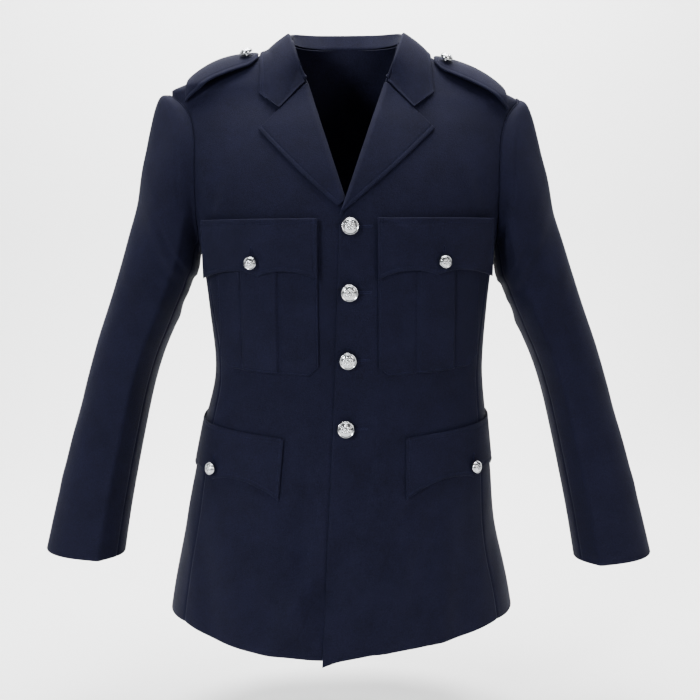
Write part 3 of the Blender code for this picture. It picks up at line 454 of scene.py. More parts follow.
def panelGrid(side, facing, edgeLow, edgeHigh, rowsLow, rowsHigh, share):
    # Panel seen from the front: straight shares of each row up to the armhole,
    # then a Coons patch (sum of both rulings less the corners' bilinear).
    rise = spreadStart(rowsLow + 1, 0.75)
    seam = sideSeam(side, facing, rise)
    seamY = seam[:, 1] + facing * body["seamGap"]
    seamX = onSide(seamY, seam[:, 2], side)
    low = edgeLow(rise)
    bend = share[None, :] ** (1 + 1.4 * (1 - rise))[:, None]
    x = low[:, :1] + (seamX[:, None] - low[:, :1]) * share[None, :]
    z = low[:, 1:] + (seam[:, 2:] - low[:, 1:]) * bend
    if facing < 0:
        near = np.exp(-share / body["hemCorner"])
        lift = (body["hemLift"][side] * (1 - near) * (1 - share ** 3)
                + body["edgeLift"][side] * near)
        z += lift[None, :] * (1 - rise[:, None]) ** 3
    lower = np.stack([x, z], -1)
    corner = seamCorner(side, facing)
    start = corner if facing < 0 else 360.0 - corner
    away = start * (1 - spreadEnds(rowsHigh + 1, 0.5)) ** 1.35
    arm = armholeAt(away if facing < 0 else 360.0 - away, side, body["armholeGap"])
    arm[0, 0], arm[0, 2] = seamX[-1], seam[-1, 2]
    up = (arm[:, 2] - arm[0, 2]) / (arm[-1, 2] - arm[0, 2])
    inner = readLine(edgeHigh, up)
    topX = inner[-1, 0] + (arm[-1, 0] - inner[-1, 0]) * share
    top = np.stack([topX, shoulderHeight(topX, side, facing)], -1)
    top[-1] = arm[-1, 0], arm[-1, 2]
    inner[-1] = top[0]
    bottom, outer = lower[-1], arm[:, (0, 2)]
    run = np.abs(bottom[:, 0] - bottom[0, 0])
    across, climb = (run / run[-1])[None, :, None], up[:, None, None]
    corners = ((1 - climb) * ((1 - across) * bottom[0] + across * bottom[-1])
               + climb * ((1 - across) * top[0] + across * top[-1]))
    upper = ((1 - climb) * bottom[None] + climb * top[None]
             + (1 - across) * inner[:, None] + across * outer[:, None] - corners)
    flat = np.concatenate([lower[:-1], upper])
    x, z = flat[..., 0], flat[..., 1]
    y = facing * np.maximum(np.abs(onFront(x, z, facing)), body["seamGap"])
    return np.stack([x, y, z], -1)


def seamDip(distance, depth=0.9, width=1.8):
    # The cloth sinks into a pressed seam: depth * exp(-(distance / width)^2).
    return depth * np.exp(-(distance / width) ** 2)


fronts = {
    "columns": 74,
    "rowsLow": 110,
    "rowsHigh": 76,
    "edgeRound": 1.3,
    "stitchIn": 6.0,
    "darts": {1: ((101.0, -414.0), (100.0, -474.0)), -1: ((-107.0, -408.0), (-102.0, -478.0))},
    "dartDepth": 1.3,
    "cut": {1: (0.30, 0.87, 0.170), -1: (0.29, 0.87, 0.175)},
}


def frontEdges(side):
    # Lower and upper inner edge of a front, seen from the front.
    top = -222.0 if side > 0 else -250.0

    def edgeLow(rise):
        z = body["frontHem"] + (top - body["frontHem"]) * rise
        x = (np.interp(z, lapEdge[:, 0], lapEdge[:, 1]) if side > 0
             else np.full_like(z, body["underEdge"]))
        return np.stack([x, z], -1)

    last = edgeLow(np.ones(1))[0]
    high = np.array([last * (side, 1), rollBreak[side] + rollInward(), gorge + rollInward(),
                     neckPoint(1)]) * (side, 1)
    high[-1] = neckPoint(side)
    return edgeLow, high


def makeFronts(material):
    share = spreadEnds(fronts["columns"], 0.85)
    for side, end in ((1, "left"), (-1, "right")):
        edgeLow, high = frontEdges(side)
        points = panelGrid(side, -1, edgeLow, high, fronts["rowsLow"], fronts["rowsHigh"], share)
        run = edgeDistances(points)
        height = lapRise(points[..., 0]) if side > 0 else np.zeros(points.shape[:2])
        height = height + foldHeight(points, bodyCreases)
        height -= seamDip(run["last"]) + seamDip(run["end"])
        height += segmentGroove(points, *fronts["darts"][side], 1.6, fronts["dartDepth"])
        drop = (roundOver(run["first"], fronts["edgeRound"], 0.95)
                + roundOver(run["start"], fronts["edgeRound"], 0.95))
        wallOver(end + " front", "front_" + end, points, height, drop, body["cloth"],
                 material)
    print("fronts made")


backs = {
    "columns": 62,
    "rowsLow": 100,
    "rowsHigh": 66,
    "edgeRound": 1.3,
    "seamDepth": 1.1,
    "seamOver": 0.5,
    "cut": (0.27, 0.83, 0.166),
}


def makeBacks(material):
    share = spreadEnds(backs["columns"], 0.82)
    for side, end in ((1, "left"), (-1, "right")):
        seamTop = armholeAt(np.array([seamCorner(side, 1)]), side)[0, 2]

        def edgeLow(rise):
            z = body["backHem"] + (seamTop - body["backHem"]) * rise
            return np.stack([np.full_like(z, -side * backs["seamOver"]), z], -1)

        high = np.array([edgeLow(np.ones(1))[0], (-side * backs["seamOver"],
                                                   body["neckHeight"] + body["neckRise"])])
        points = panelGrid(side, 1, edgeLow, high, backs["rowsLow"], backs["rowsHigh"], share)
        run = edgeDistances(points)
        height = (foldHeight(points, bodyCreases) - seamDip(run["first"], backs["seamDepth"])
                  - seamDip(run["last"]) - seamDip(run["end"]))
        drop = roundOver(run["start"], backs["edgeRound"], 0.95)
        wallOver(end + " back", "back_" + end, points, height, drop, body["cloth"],
                 material)
    print("backs made")


sides = {
    "columns": 30,
    "rows": 130,
    "edgeRound": 1.3,
    "cut": (0.17, 0.54, 0.067),
}


def makeSides(material):
    share = spreadEnds(sides["columns"], 0.8)
    rise = spreadEnds(sides["rows"], 0.6)
    for side, end in ((1, "left"), (-1, "right")):
        fore, hind = sideSeam(side, -1, rise), sideSeam(side, 1, rise)
        gap = body["seamGap"]
        y = (fore[:, 1] + gap)[:, None] * (1 - share) + (hind[:, 1] - gap)[:, None] * share
        z = fore[:, 2][:, None] * (1 - share) + hind[:, 2][:, None] * share
        top = -body["shoulderDrop"][side]
        middle = (top + body["armholeBottom"]) / 2
        reach = (top - body["armholeBottom"]) / 2 + body["armholeGap"]
        deep = (np.where(y[-1] < 0, body["armholeFront"], body["armholeBack"])
                + body["armholeGap"])
        dip = middle - reach * np.sqrt(1 - (y[-1] / deep) ** 2) - z[-1]
        dip -= dip[0] * (1 - share) + dip[-1] * share
        z = z + rise[:, None] ** 3 * dip
        points = np.stack([onSide(y, z, side), y, z], -1)
        run = edgeDistances(points)
        height = (foldHeight(points, bodyCreases) - seamDip(run["first"])
                  - seamDip(run["last"]) - seamDip(run["end"]))
        drop = roundOver(run["start"], sides["edgeRound"], 0.95)
        wallOver(end + " side", "side_" + end, points, height, drop, body["cloth"],
                 material)
    print("sides made")


lapels = {
    "rows": 84,
    "rollColumns": 12,
    "flatColumns": 40,
    "rollHeight": 4.4,
    "rollRadius": 7.0,
    "cloth": 2.2,
    "belly": 3.0,
    "edgeClear": 3.0,
    "stitchIn": 5.5,
    "cut": (0.095, 0.19, 0.0088),
}


def makeLapels(material):
    # Seen from the front each row runs from the roll line to the outer edge: a
    # quarter round of the roll radius, then flat.
    along = spreadEnds(lapels["rows"], 0.8)
    turn = np.radians(np.linspace(0.0, 90.0, lapels["rollColumns"]))
    flat = spreadStart(lapels["flatColumns"], 0.85)
    flat = (1 - flat[::-1])[1:]
    for side, end in ((1, "left"), (-1, "right")):
        roll = rollBreak[side] + (gorge - rollBreak[side]) * along[:, None]
        edge = lapelFoot[side] + (lapelPeak - lapelFoot[side]) * along[:, None]
        edge[:, 1] -= lapels["belly"] * np.sin(np.pi * along)
        span = np.linalg.norm(edge - roll, axis=1)
        direction = (edge - roll) / span[:, None]
        radius = np.minimum(lapels["rollRadius"], 0.55 * span)[:, None]
        crown = np.minimum(lapels["rollHeight"], 2.6 + 0.2 * span)[:, None]
        run = np.concatenate([radius * (1 - np.cos(turn)),
                              radius + (span[:, None] - radius) * flat], axis=1)
        height = np.concatenate([-1.0 + (crown + 1.0) * np.sin(turn),
                                 crown + (lapels["edgeClear"] - crown) * flat ** 0.7], axis=1)
        seen = roll[:, None] + direction[:, None] * run[..., None]
        seen[-1, :, 1] -= 0.2
        x, z = side * seen[..., 0], seen[..., 1]
        points = np.stack([x, onFront(x, z), z], -1)
        base = lapRise(x) if side > 0 else 0.0
        middle = placeOn(points, base + height - lapels["cloth"] / 2)
        borders = edgeDistances(middle)
        drop = (roundOver(borders["last"], 1.3, 1.0)
                + roundOver(borders["end"], 0.6, 0.3) + roundOver(borders["start"], 1.3, 0.9))
        relief = stitchGroove(borders["last"], lapels["stitchIn"])
        relief = relief * np.clip(borders["start"] / 20.0, 0.0, 1.0)
        normal = gridNormals(middle) * side
        half = lapels["cloth"] / 2
        outer = middle + normal * (half - drop + relief)[..., None]
        inner = middle - normal * (half - np.minimum(drop, half))[..., None]
        insetRow(end + " lapel", outer, lapels["stitchIn"], ("last",), normal)
        addShell(end + " lapel", "lapel_" + end, outer, inner, material)
    print("lapels made")


collar = {
    "rows": 151,
    "fallColumns": 38,
    "bendColumns": 14,
    "standColumns": 8,
    "bend": 2.9,
    "cloth": 2.0,
    "clear": 3.2,
    "stitchIn": 5.5,
    "cut": (0.53, 0.11, 0.040),
}

# share of the run from the gorge to the centre back, fold x, y, z, edge x, y, z
collarStations = np.array([
    (0.00, 49.6, -59.0, -41.0, 112.5, -66.0, -53.6),
    (0.15, 62.0, -59.5, -8.0, 110.5, -53.0, -30.0),
    (0.32, 72.0, -33.0, 23.0, 110.0, -30.0, -8.0),
    (0.50, 73.0, 4.0, 29.0, 108.0, 5.0, 2.0),
    (0.68, 67.0, 38.0, 37.0, 99.0, 46.0, 0.0),
    (0.84, 40.0, 63.0, 40.0, 59.0, 76.0, -4.0),
    (1.00, 0.0, 71.0, 41.0, 0.0, 88.0, -6.0),
])


def neckSeam(at):
    # Points over the neck's edge, from the gorge to the centre back.
    start = gorge + rollInward()
    fore = readLine(np.array([start, neckPoint(1)]), np.linspace(0.0, 1.0, 40) ** 0.6)
    fore = np.stack([fore[:, 0], onFront(fore[:, 0], fore[:, 1]), fore[:, 1]], -1)
    x = body["neckHalf"] * (1 - np.linspace(0.0, 1.0, 60)[1:] ** 1.5)
    z = shoulderHeight(x, 1, 1)
    hind = np.stack([x, onFront(x, z, 1), z], -1)
    seam = placeOn(readLine(np.concatenate([fore, hind]), at), 1.3, folded=False)
    inward = seam[:, :2] / np.linalg.norm(seam[:, :2], axis=1)[:, None]
    seam[:, :2] -= inward * 1.6
    seam[-1, 0] = 0.0
    return seam


def makeCollar(material):
    # Fall, bend and stand in one grid. The bend is an arc of 140 degrees of the
    # bend radius; fall and stand are straight rows from it, bowed by a sine.
    at = spreadStart(collar["rows"] // 2 + 1, 0.8)
    half = np.stack([smoothRows(collarStations, at, k + 1) for k in range(6)], -1)
    fold, edge, seam = half[:, 0:3], half[:, 3:6], neckSeam(at)
    edge = placeOn(edge, collar["clear"], folded=False)
    fold[0] = placeOn(fold[:1], 1.5, folded=False)[0]
    up = fold - edge
    up /= np.linalg.norm(up, axis=1)[:, None]
    out = np.cross(np.gradient(fold, axis=0), up)
    out /= np.linalg.norm(out, axis=1)[:, None]
    radius = collar["bend"]
    centre = fold - radius * up
    turn = np.radians(np.linspace(0.0, 140.0, collar["bendColumns"]))
    bend = (centre[:, None] + radius * (np.cos(turn)[None, :, None] * out[:, None]
            + np.sin(turn)[None, :, None] * up[:, None]))
    seam[0] = bend[0, -1] - 0.64 * out[0] - 0.77 * up[0]
    share = spreadStart(collar["fallColumns"], 0.85) * 0.97
    fall = edge[:, None] + (bend[:, :1] - edge[:, None]) * share[None, :, None]
    notch = np.array((notchPoint[0], 0.0, notchPoint[1]))
    notch[1] = onFront(notch[:1], notch[2:])[0]
    notch = placeOn(notch[None], collar["clear"] + 0.2, folded=False)[0]
    near = np.exp(-(at / 0.13) ** 1.5)[:, None, None]
    corner = 0.42
    straight = edge[0] + (bend[0, 0] - edge[0]) * corner
    kink = np.interp(share, (0.0, corner, 1.0), (0.0, 1.0, 0.0))
    fall = fall + near * kink[None, :, None] * (notch - straight)[None, None]
    fall = fall + np.sin(np.pi * share)[None, :, None] * 1.6 * out[:, None]
    down = np.linspace(0.0, 1.0, collar["standColumns"] + 1)[1:]
    stand = bend[:, -1:] + (seam[:, None] - bend[:, -1:]) * down[None, :, None]
    right = np.concatenate([fall, bend, stand], axis=1)
    outer = np.concatenate([right, (right[::-1] * (-1, 1, 1))[1:]])
    columns = len(share)
    outer[:, :columns] = liftOff(outer[:, :columns], collar["clear"])
    stand = (slice(6, -6), slice(columns, -collar["standColumns"]))
    outer[stand] = liftOff(outer[stand], collar["clear"])
    outer[1:-1, -1:] = liftOff(outer[1:-1, -1:], 1.2)
    normal = -gridNormals(outer)
    inner = outer - normal * collar["cloth"]
    inner[1:-1] = liftNearby(inner[1:-1], 0.5)
    borders = edgeDistances(outer)
    ends = np.minimum(borders["start"], borders["end"])
    relief = stitchGroove(borders["first"], collar["stitchIn"])
    drop = roundOver(borders["first"], 1.3, 1.0) + roundOver(ends, 1.2, 0.8)
    outer = outer + normal * (relief * np.clip(ends / 6.0, 0.0, 1.0) - drop)[..., None]
    inner = inner + normal * np.minimum(drop, 0.9)[..., None]
    insetRow("whole collar", outer, collar["stitchIn"], ("start", "first", "end"), normal)
    addShell("whole collar", "collar", outer, inner, material)
    print("collar made")


sleeves = {
    "rows": 160,
    "topColumns": 84,
    "underColumns": 36,
    "cloth": 1.6,
    "seamDegrees": 0.22,
    "foreSeam": 150.0,
    "hindSeam": 248.0,
    "creaseAngle": 116.0,
    "creaseHeight": 11.0,
    "creaseWidth": 20.0,
    "backCreaseAngle": 305.0,
    "leanOut": {1: (-3.0, 1.0), -1: (1.0, 13.0)},
    "topCut": (0.27, 0.67, 0.150),
    "underCut": (0.13, 0.53, 0.043),
}

# outer x, z, inner x, z, depth, middle y, share of the armhole's own shape
sleeveStations = np.array([
    (234.0, -50.0, 198.0, -258.0, 64.5, 2.5, 1.00),
    (246.0, -55.0, 199.5, -262.0, 66.0, 2.5, 0.92),
    (254.0, -72.0, 200.5, -267.0, 67.5, 2.8, 0.76),
    (262.0, -103.0, 201.5, -273.0, 68.5, 3.0, 0.58),
    (271.0, -146.0, 203.0, -282.0, 68.5, 3.5, 0.40),
    (283.0, -198.0, 205.0, -293.0, 67.0, 4.0, 0.22),
    (298.0, -250.0, 211.0, -310.0, 64.5, 5.0, 0.08),
    (314.0, -300.0, 224.0, -338.0, 61.5, 6.0, 0.0),
    (331.0, -350.0, 241.0, -373.0, 58.5, 6.5, 0.0),
    (349.0, -402.0, 257.0, -410.0, 56.0, 5.5, 0.0),
    (366.0, -456.0, 271.0, -455.0, 53.5, 3.0, 0.0),
    (382.0, -512.0, 284.0, -512.0, 51.0, -1.0, 0.0),
    (397.0, -570.0, 296.0, -570.0, 48.5, -5.5, 0.0),
    (411.0, -624.0, 307.0, -627.0, 46.0, -9.5, 0.0),
    (424.5, -680.0, 317.0, -688.0, 44.0, -14.0, 0.0),
])

# station 0 to 1, angle, length along, width in degrees, slant, rise
sleeveFolds = np.array([
    (0.40, 60.0, 0.030, 55.0, 0.05, -3.5),
    (0.46, 85.0, 0.025, 60.0, 0.06, -3.0),
    (0.43, 175.0, 0.035, 40.0, 0.00, -4.0),
    (0.50, 190.0, 0.030, 35.0, 0.00, -3.0),
    (0.30, 20.0, 0.050, 50.0, -0.04, 2.5),
    (0.55, 300.0, 0.045, 60.0, 0.05, 3.0),
    (0.72, 40.0, 0.050, 60.0, -0.05, -2.0),
    (0.24, 262.0, 0.050, 45.0, 0.04, -4.0),
])

# The same columns: smaller creases that only show in the cloth
sleeveCreases = np.array([
    (0.37, 100.0, 0.013, 34.0, 0.050, -2.6),
    (0.435, 108.0, 0.013, 38.0, 0.060, -3.0),
    (0.49, 96.0, 0.014, 34.0, 0.070, 2.4),
    (0.335, 70.0, 0.013, 40.0, 0.040, 1.3),
    (0.52, 62.0, 0.013, 34.0, 0.060, -1.2),
    (0.60, 100.0, 0.016, 40.0, -0.050, -1.2),
    (0.66, 64.0, 0.018, 40.0, -0.060, 1.1),
    (0.80, 92.0, 0.018, 44.0, 0.050, -1.1),
    (0.40, 200.0, 0.012, 32.0, 0.00, 1.4),
    (0.47, 215.0, 0.012, 32.0, 0.02, -1.8),
    (0.54, 205.0, 0.014, 34.0, -0.02, 1.3),
    (0.16, 70.0, 0.016, 26.0, 0.10, -1.3),
    (0.13, 310.0, 0.018, 26.0, 0.09, -1.4),
    (0.33, 285.0, 0.016, 40.0, 0.04, -1.6),
    (0.41, 300.0, 0.014, 40.0, 0.05, 1.6),
    (0.50, 275.0, 0.014, 36.0, 0.05, -1.5),
    (0.66, 290.0, 0.018, 44.0, -0.04, -1.2),
    (0.88, 30.0, 0.020, 50.0, 0.03, 1.0),
])


def sleeveRelief(at, angle):
    # Pressed creases exp(-turn / width), and soft folds as on the body.
    def away(middle):
        return ((angle - middle + 180.0) % 360.0 - 180.0)[None, :]

    station = at[:, None]
    fade = np.clip(station * 3.0 - 0.2, 0.0, 1.0)
    rise = sleeves["creaseHeight"]
    width = sleeves["creaseWidth"]
    relief = rise * np.exp(-np.abs(away(sleeves["creaseAngle"])) / width) * fade
    relief = relief + 0.6 * rise * np.exp(-np.abs(away(sleeves["backCreaseAngle"])) / width) * fade
    for along, middle, length, width, slant, height in np.concatenate([sleeveFolds,
                                                                      sleeveCreases]):
        turn = away(middle)
        line = station - along - slant * turn / 60.0
        relief = relief + height * np.exp(-(line / length) ** 2 - (turn / width) ** 2)
    return relief


def sleeveGrid(side, at, angle):
    # Ellipses between the outer and inner line of the sleeve; near the body
    # they take on the armhole's own shape.
    knots = np.linspace(0.0, 1.0, len(sleeveStations))
    table = np.column_stack([knots, sleeveStations])
    outerX, outerZ, innerX, innerZ, depth, middle, share = (
        smoothRows(table, at, k + 1)[:, None] for k in range(7))
    turn = np.radians(angle)[None, :]
    out, up = sleeves["leanOut"][side]
    ease = np.clip(at[:, None] * 4.0, 0.0, 1.0)
    outerX, outerZ = outerX + out * ease, outerZ + up * ease
    innerX, innerZ = innerX + out * ease * 0.4, innerZ + up * ease
    start, first = armholeAt(angle, side), sleeveStations[0]
    firstX = (first[0] + first[2]) / 2 + np.cos(turn) * (first[0] - first[2]) / 2
    firstZ = (first[1] + first[3]) / 2 + np.cos(turn) * (first[1] - first[3]) / 2
    firstY = first[5] - np.sin(turn) * first[4]
    bulge = sleeveRelief(at, angle) * np.clip(at[:, None] * 8.0, 0.0, 1.0)
    wide = np.hypot(outerX - innerX, outerZ - innerZ) / 2
    across, deep = 1 + bulge / wide, 1 + bulge / depth
    x = ((outerX + innerX) / 2 + np.cos(turn) * (outerX - innerX) / 2 * across
         + share * (start[None, :, 0] * side - firstX))
    z = ((outerZ + innerZ) / 2 + np.cos(turn) * (outerZ - innerZ) / 2 * across
         + share * (start[None, :, 2] - firstZ))
    y = middle - np.sin(turn) * depth * deep + share * (start[None, :, 1] - firstY)
    points = np.stack([side * x, y, z], -1)
    return liftOff(points, np.where(at > 0, 1.6, 0.7)[:, None])


def makeSleeves(material):
    at = spreadEnds(sleeves["rows"], 0.75)
    gap = sleeves["seamDegrees"]
    pieces = (("top", sleeves["hindSeam"] - 360.0 + gap, sleeves["foreSeam"] - gap),
              ("under", sleeves["foreSeam"] + gap, sleeves["hindSeam"] - gap))
    for side, end in ((1, "left"), (-1, "right")):
        for name, first, last in pieces:
            share = spreadEnds(sleeves[name + "Columns"], 0.8)
            angle = first + (last - first) * share
            wide = sleeveGrid(side, at, np.concatenate([[first - 0.4], angle, [last + 0.4]]))
            normal = gridNormals(wide)[:, 1:-1] * side
            outer = wide[:, 1:-1]
            borders = edgeDistances(outer)
            dip = (seamDip(borders["first"], 0.7) + seamDip(borders["last"], 0.7)
                   + roundOver(borders["end"], 1.2, 0.75))
            inner = outer - normal * (sleeves["cloth"] - roundOver(borders["end"], 1.2, 0.75))[..., None]
            outer = outer - normal * dip[..., None]
            addShell(end + " " + name + " sleeve", name + "_sleeve_" + end, outer, inner,
                     material)
    print("sleeves made")


breastPockets = {
    "inner": 37.5,
    "outer": 168.0,
    "top": -222.0,
    "bottom": -413.0,
    "corner": 13.0,
    "cloth": 1.6,
    "pleatMiddle": 111.5,
    "pleatHalf": 23.0,
    "pleatHeight": 2.6,
    "pleatFold": 1.1,
    "troughDepth": 0.85,
    "rows": 60,
    "columns": 130,
    "stitchIn": 3.0,
    "cut": (0.165, 0.195, 0.028),
}


def pocketHeight(side, x):
    # Pocket's outer face over the body, without its pleat.
    return (lapRise(x) if side > 0 else 0.0) + body["layerGap"] + breastPockets["cloth"]


def makeBreastPockets(material):
    # A patch with a raised pleat: a smooth step of 3s^2 - 2s^3 at each fold.
    p = breastPockets
    columns = p["inner"] + (p["outer"] - p["inner"]) * spreadEnds(p["columns"], 0.7)
    fromEdge = np.abs(columns - p["pleatMiddle"])
    step = np.clip((p["pleatHalf"] - fromEdge) / p["pleatFold"] + 0.5, 0.0, 1.0)
    raised = p["pleatHeight"] * step ** 2 * (3 - 2 * step)
    trough = -p["troughDepth"] * np.exp(-((fromEdge - p["pleatHalf"] - 1.4) / 1.3) ** 2)
    for side, end in ((1, "left"), (-1, "right")):
        share = spreadEnds(p["rows"], 0.8)[:, None]
        bottom = p["bottom"] + 9.0 * (columns - p["inner"]) / (p["outer"] - p["inner"])
        corner = np.minimum(columns - p["inner"], p["outer"] - columns)
        bottom = bottom + np.maximum(p["corner"] - corner, 0.0)
        z = p["top"] + (bottom - p["top"])[None, :] * share
        x = side * np.broadcast_to(columns, z.shape)
        points = np.stack([x, onFront(x, z), z], -1)
        run = edgeDistances(points)
        nearest = np.minimum(np.minimum(run["first"], run["last"]), run["end"])
        drop = roundOver(nearest, 1.2, 0.75)
        height = (pocketHeight(side, x) + raised + trough
                  + stitchGroove(nearest, p["stitchIn"], 0.8, 0.35))
        wallOver(end + " breast pocket", "breast_pocket_" + end, points, height, drop,
                 p["cloth"], material, ((p["stitchIn"], ("first", "end", "last")),))
    print("breast pockets made")


flaps = {
    "cloth": 2.2,
    "columns": 97,
    "rows": 44,
    "stitchIn": 5.5,
    "topStitchIn": 6.5,
    "edgeRound": 1.3,
    "breastInner": 37.0,
    "breastOuter": 183.0,
    "breastTop": -213.0,
    "breastDrop": {"corner": 76.0, "arc": 65.0, "point": 71.0},
    "skirtInner": 78.0,
    "skirtWidth": 206.0,
    "skirtTop": -493.0,
    "skirtRise": 16.0,
    "skirtDrop": {"corner": 80.0, "arc": 62.0, "point": 70.0},
    "breastCut": (0.160, 0.080, 0.0121),
    "skirtCut": (0.215, 0.085, 0.0142),
}


def scallop(share, drop):
    # Corners and a middle point joined by arcs: base - arc * sin(pi * two)^0.8.
    two = np.abs(2 * share - 1)
    base = drop["point"] + (drop["corner"] - drop["point"]) * two
    arc = (drop["point"] + drop["corner"]) / 2 - drop["arc"]
    return base - arc * np.abs(np.sin(np.pi * two)) ** 0.8


def flapRelief(points):
    # Rounded edges all round, a stitched row inside the free ones and a second
    # one under the top seam.
    run = edgeDistances(points)
    free = np.minimum(np.minimum(run["first"], run["last"]), run["end"])
    drop = roundOver(np.minimum(free, run["start"]), flaps["edgeRound"], 1.05)
    rows = (stitchGroove(free, flaps["stitchIn"])
            + stitchGroove(run["start"], flaps["topStitchIn"], 1.0, 0.5))
    return rows, drop


def flapSewing():
    return ((flaps["stitchIn"], ("first", "end", "last")), (flaps["topStitchIn"], ("start",)))


def breastFlapHeight(side, x):
    p = breastPockets
    return pocketHeight(side, x) + p["pleatHeight"] + body["layerGap"] + flaps["cloth"]


def makeBreastFlaps(material):
    share = spreadEnds(flaps["columns"], 0.7)
    down = spreadEnds(flaps["rows"], 0.7)[:, None]
    across = flaps["breastInner"] + (flaps["breastOuter"] - flaps["breastInner"]) * share
    for side, end in ((1, "left"), (-1, "right")):
        z = flaps["breastTop"] - down * scallop(share, flaps["breastDrop"])[None, :]
        x = side * np.broadcast_to(across, z.shape)
        points = np.stack([x, onFront(x, z), z], -1)
        relief, drop = flapRelief(points)
        wallOver(end + " breast flap", "breast_flap_" + end, points,
                 breastFlapHeight(side, x) + relief, drop, flaps["cloth"],
                 material, flapSewing())
    print("breast flaps made")


def ringPlace(side, run, z):
    # Points at a distance along each ring from the middle front: the ring's
    # length is summed over 500 steps and read back by its two nearest steps.
    turn = np.linspace(0.0, np.pi * 0.75, 500)
    level, wanted = z.ravel(), run.ravel()
    half, front, back, power, swing = (
        v[:, None] for v in ringSizes(np.full_like(level, side * 1000.0), level))
    sine, cosine = np.sin(turn)[None, :], np.cos(turn)[None, :]
    x = half * np.abs(sine) ** (2 / power)
    y = -np.sign(cosine) * np.where(cosine > 0, front, back) * np.abs(cosine) ** (2 / power)
    steps = np.hypot(np.diff(x, axis=1), np.diff(y, axis=1))
    length = np.concatenate([np.zeros((len(level), 1)), np.cumsum(steps, axis=1)], axis=1)
    after = np.clip((length < wanted[:, None]).sum(axis=1), 1, len(turn) - 1)
    rows = np.arange(len(level))
    low, high = length[rows, after - 1], length[rows, after]
    part = (wanted - low) / np.maximum(high - low, 1e-9)
    px = x[rows, after - 1] * (1 - part) + x[rows, after] * part
    py = y[rows, after - 1] * (1 - part) + y[rows, after] * part
    return np.stack([swing[:, 0] + side * px, py, level], -1).reshape(z.shape + (3,))


def skirtFlapPlace(side, share, down):
    # Point of the skirt flap at shares of its width and of its depth.
    z = (flaps["skirtTop"] + flaps["skirtRise"] * share ** 0.8
         - down * scallop(share, flaps["skirtDrop"]))
    run = (flaps["skirtInner"] + flaps["skirtWidth"] * share
           + 4.0 * down * (1 - 2 * share))
    return ringPlace(side, run, z)


def makeSkirtFlaps(material):
    share = spreadEnds(flaps["columns"], 0.7)[None, :]
    down = spreadEnds(flaps["rows"], 0.7)[:, None]
    share, down = np.broadcast_arrays(share, down)
    for side, end in ((1, "left"), (-1, "right")):
        points = skirtFlapPlace(side, share, down)
        relief, drop = flapRelief(points)
        wallOver(end + " skirt flap", "skirt_flap_" + end, points,
                 body["layerGap"] + flaps["cloth"] + relief, drop, flaps["cloth"],
                 material, flapSewing())
    print("skirt flaps made")


straps = {
    "outer": 214.0,
    "inner": 114.0,
    "half": 25.0,
    "taper": 5.0,
    "middle": -29.0,
    "lift": 7.0,
    "cloth": 2.2,
    "rows": 96,
    "columns": 44,
    "stitchIn": 5.0,
    "button": 127.0,
    "cut": (0.055, 0.120, 0.0052),
}


def overShoulder(side, x, run):
    # Points over the shoulder at distances x and runs in front of its seam: the
    # height is found by halving between inside and outside, for a row of y.
    y = np.broadcast_to(np.linspace(20.0, -75.0, 160), (len(x), 160))
    level = np.broadcast_to(side * x[:, None], y.shape)
    low, high = np.full(y.shape, -190.0), np.full(y.shape, 40.0)
    for _ in range(36):
        z = (low + high) / 2
        inside = bodyLevel(np.stack([level, y, z], -1)) < 0
        low, high = np.where(inside, z, low), np.where(inside, high, z)
    steps = np.hypot(np.diff(y, axis=1), np.diff(z, axis=1))
    length = np.concatenate([np.zeros((len(x), 1)), np.cumsum(steps, axis=1)], axis=1)
    rows = []
    for k in range(len(x)):
        gone = length[k] - np.interp(0.0, -y[k], length[k])
        rows.append(np.stack([np.full_like(run[k], side * x[k]), np.interp(-run[k], gone, y[k]),
                              np.interp(-run[k], gone, z[k])], -1))
    return np.array(rows)


def strapPoints(side, along, across):
    x = straps["outer"] + (straps["inner"] - straps["outer"]) * along
    half = straps["half"] - straps["taper"] * along
    nose = np.clip((along - 0.86) / 0.14, 0.0, 1.0)
    half = half * np.sqrt(1 - 0.80 * nose ** 2)
    return overShoulder(side, x - 5.0 * (1 - along), straps["middle"] + half[:, None] * across)


def strapHeight(along):
    # Clear of the shoulder, arched by a sine along the strap.
    arch = np.sin(np.pi * along ** 0.8) ** 0.7
    return body["layerGap"] + straps["cloth"] + straps["lift"] * arch


def makeStraps(material):
    along = spreadEnds(straps["rows"], 0.85)
    across = spreadEnds(straps["columns"], 0.75)[None, :] * 2 - 1
    for side, end in ((1, "left"), (-1, "right")):
        points = strapPoints(side, along, across)
        run = edgeDistances(points)
        nearest = np.minimum(np.minimum(run["first"], run["last"]), run["end"])
        drop = roundOver(np.minimum(nearest, run["start"]), 1.3, 1.05)
        height = strapHeight(along)[:, None] + stitchGroove(nearest, straps["stitchIn"])
        wallOver(end + " epaulette", "epaulette_" + end, points, height, drop,
                 straps["cloth"], material,
                 ((straps["stitchIn"], ("first", "end", "last")),))
    print("shoulder straps made")


buttons = {
    "large": 23.5,
    "small": 17.5,
    "front": ((3.5, -223.0), (2.0, -304.5), (-0.5, -390.5), (-4.0, -479.0)),
    "breast": (117.5, -267.0),
    "skirtDown": 56.0,
    "shank": 2.6,
    "gap": 0.7,
    "spokes": 72,
    "petals": 8,
    "relief": 0.80,
}


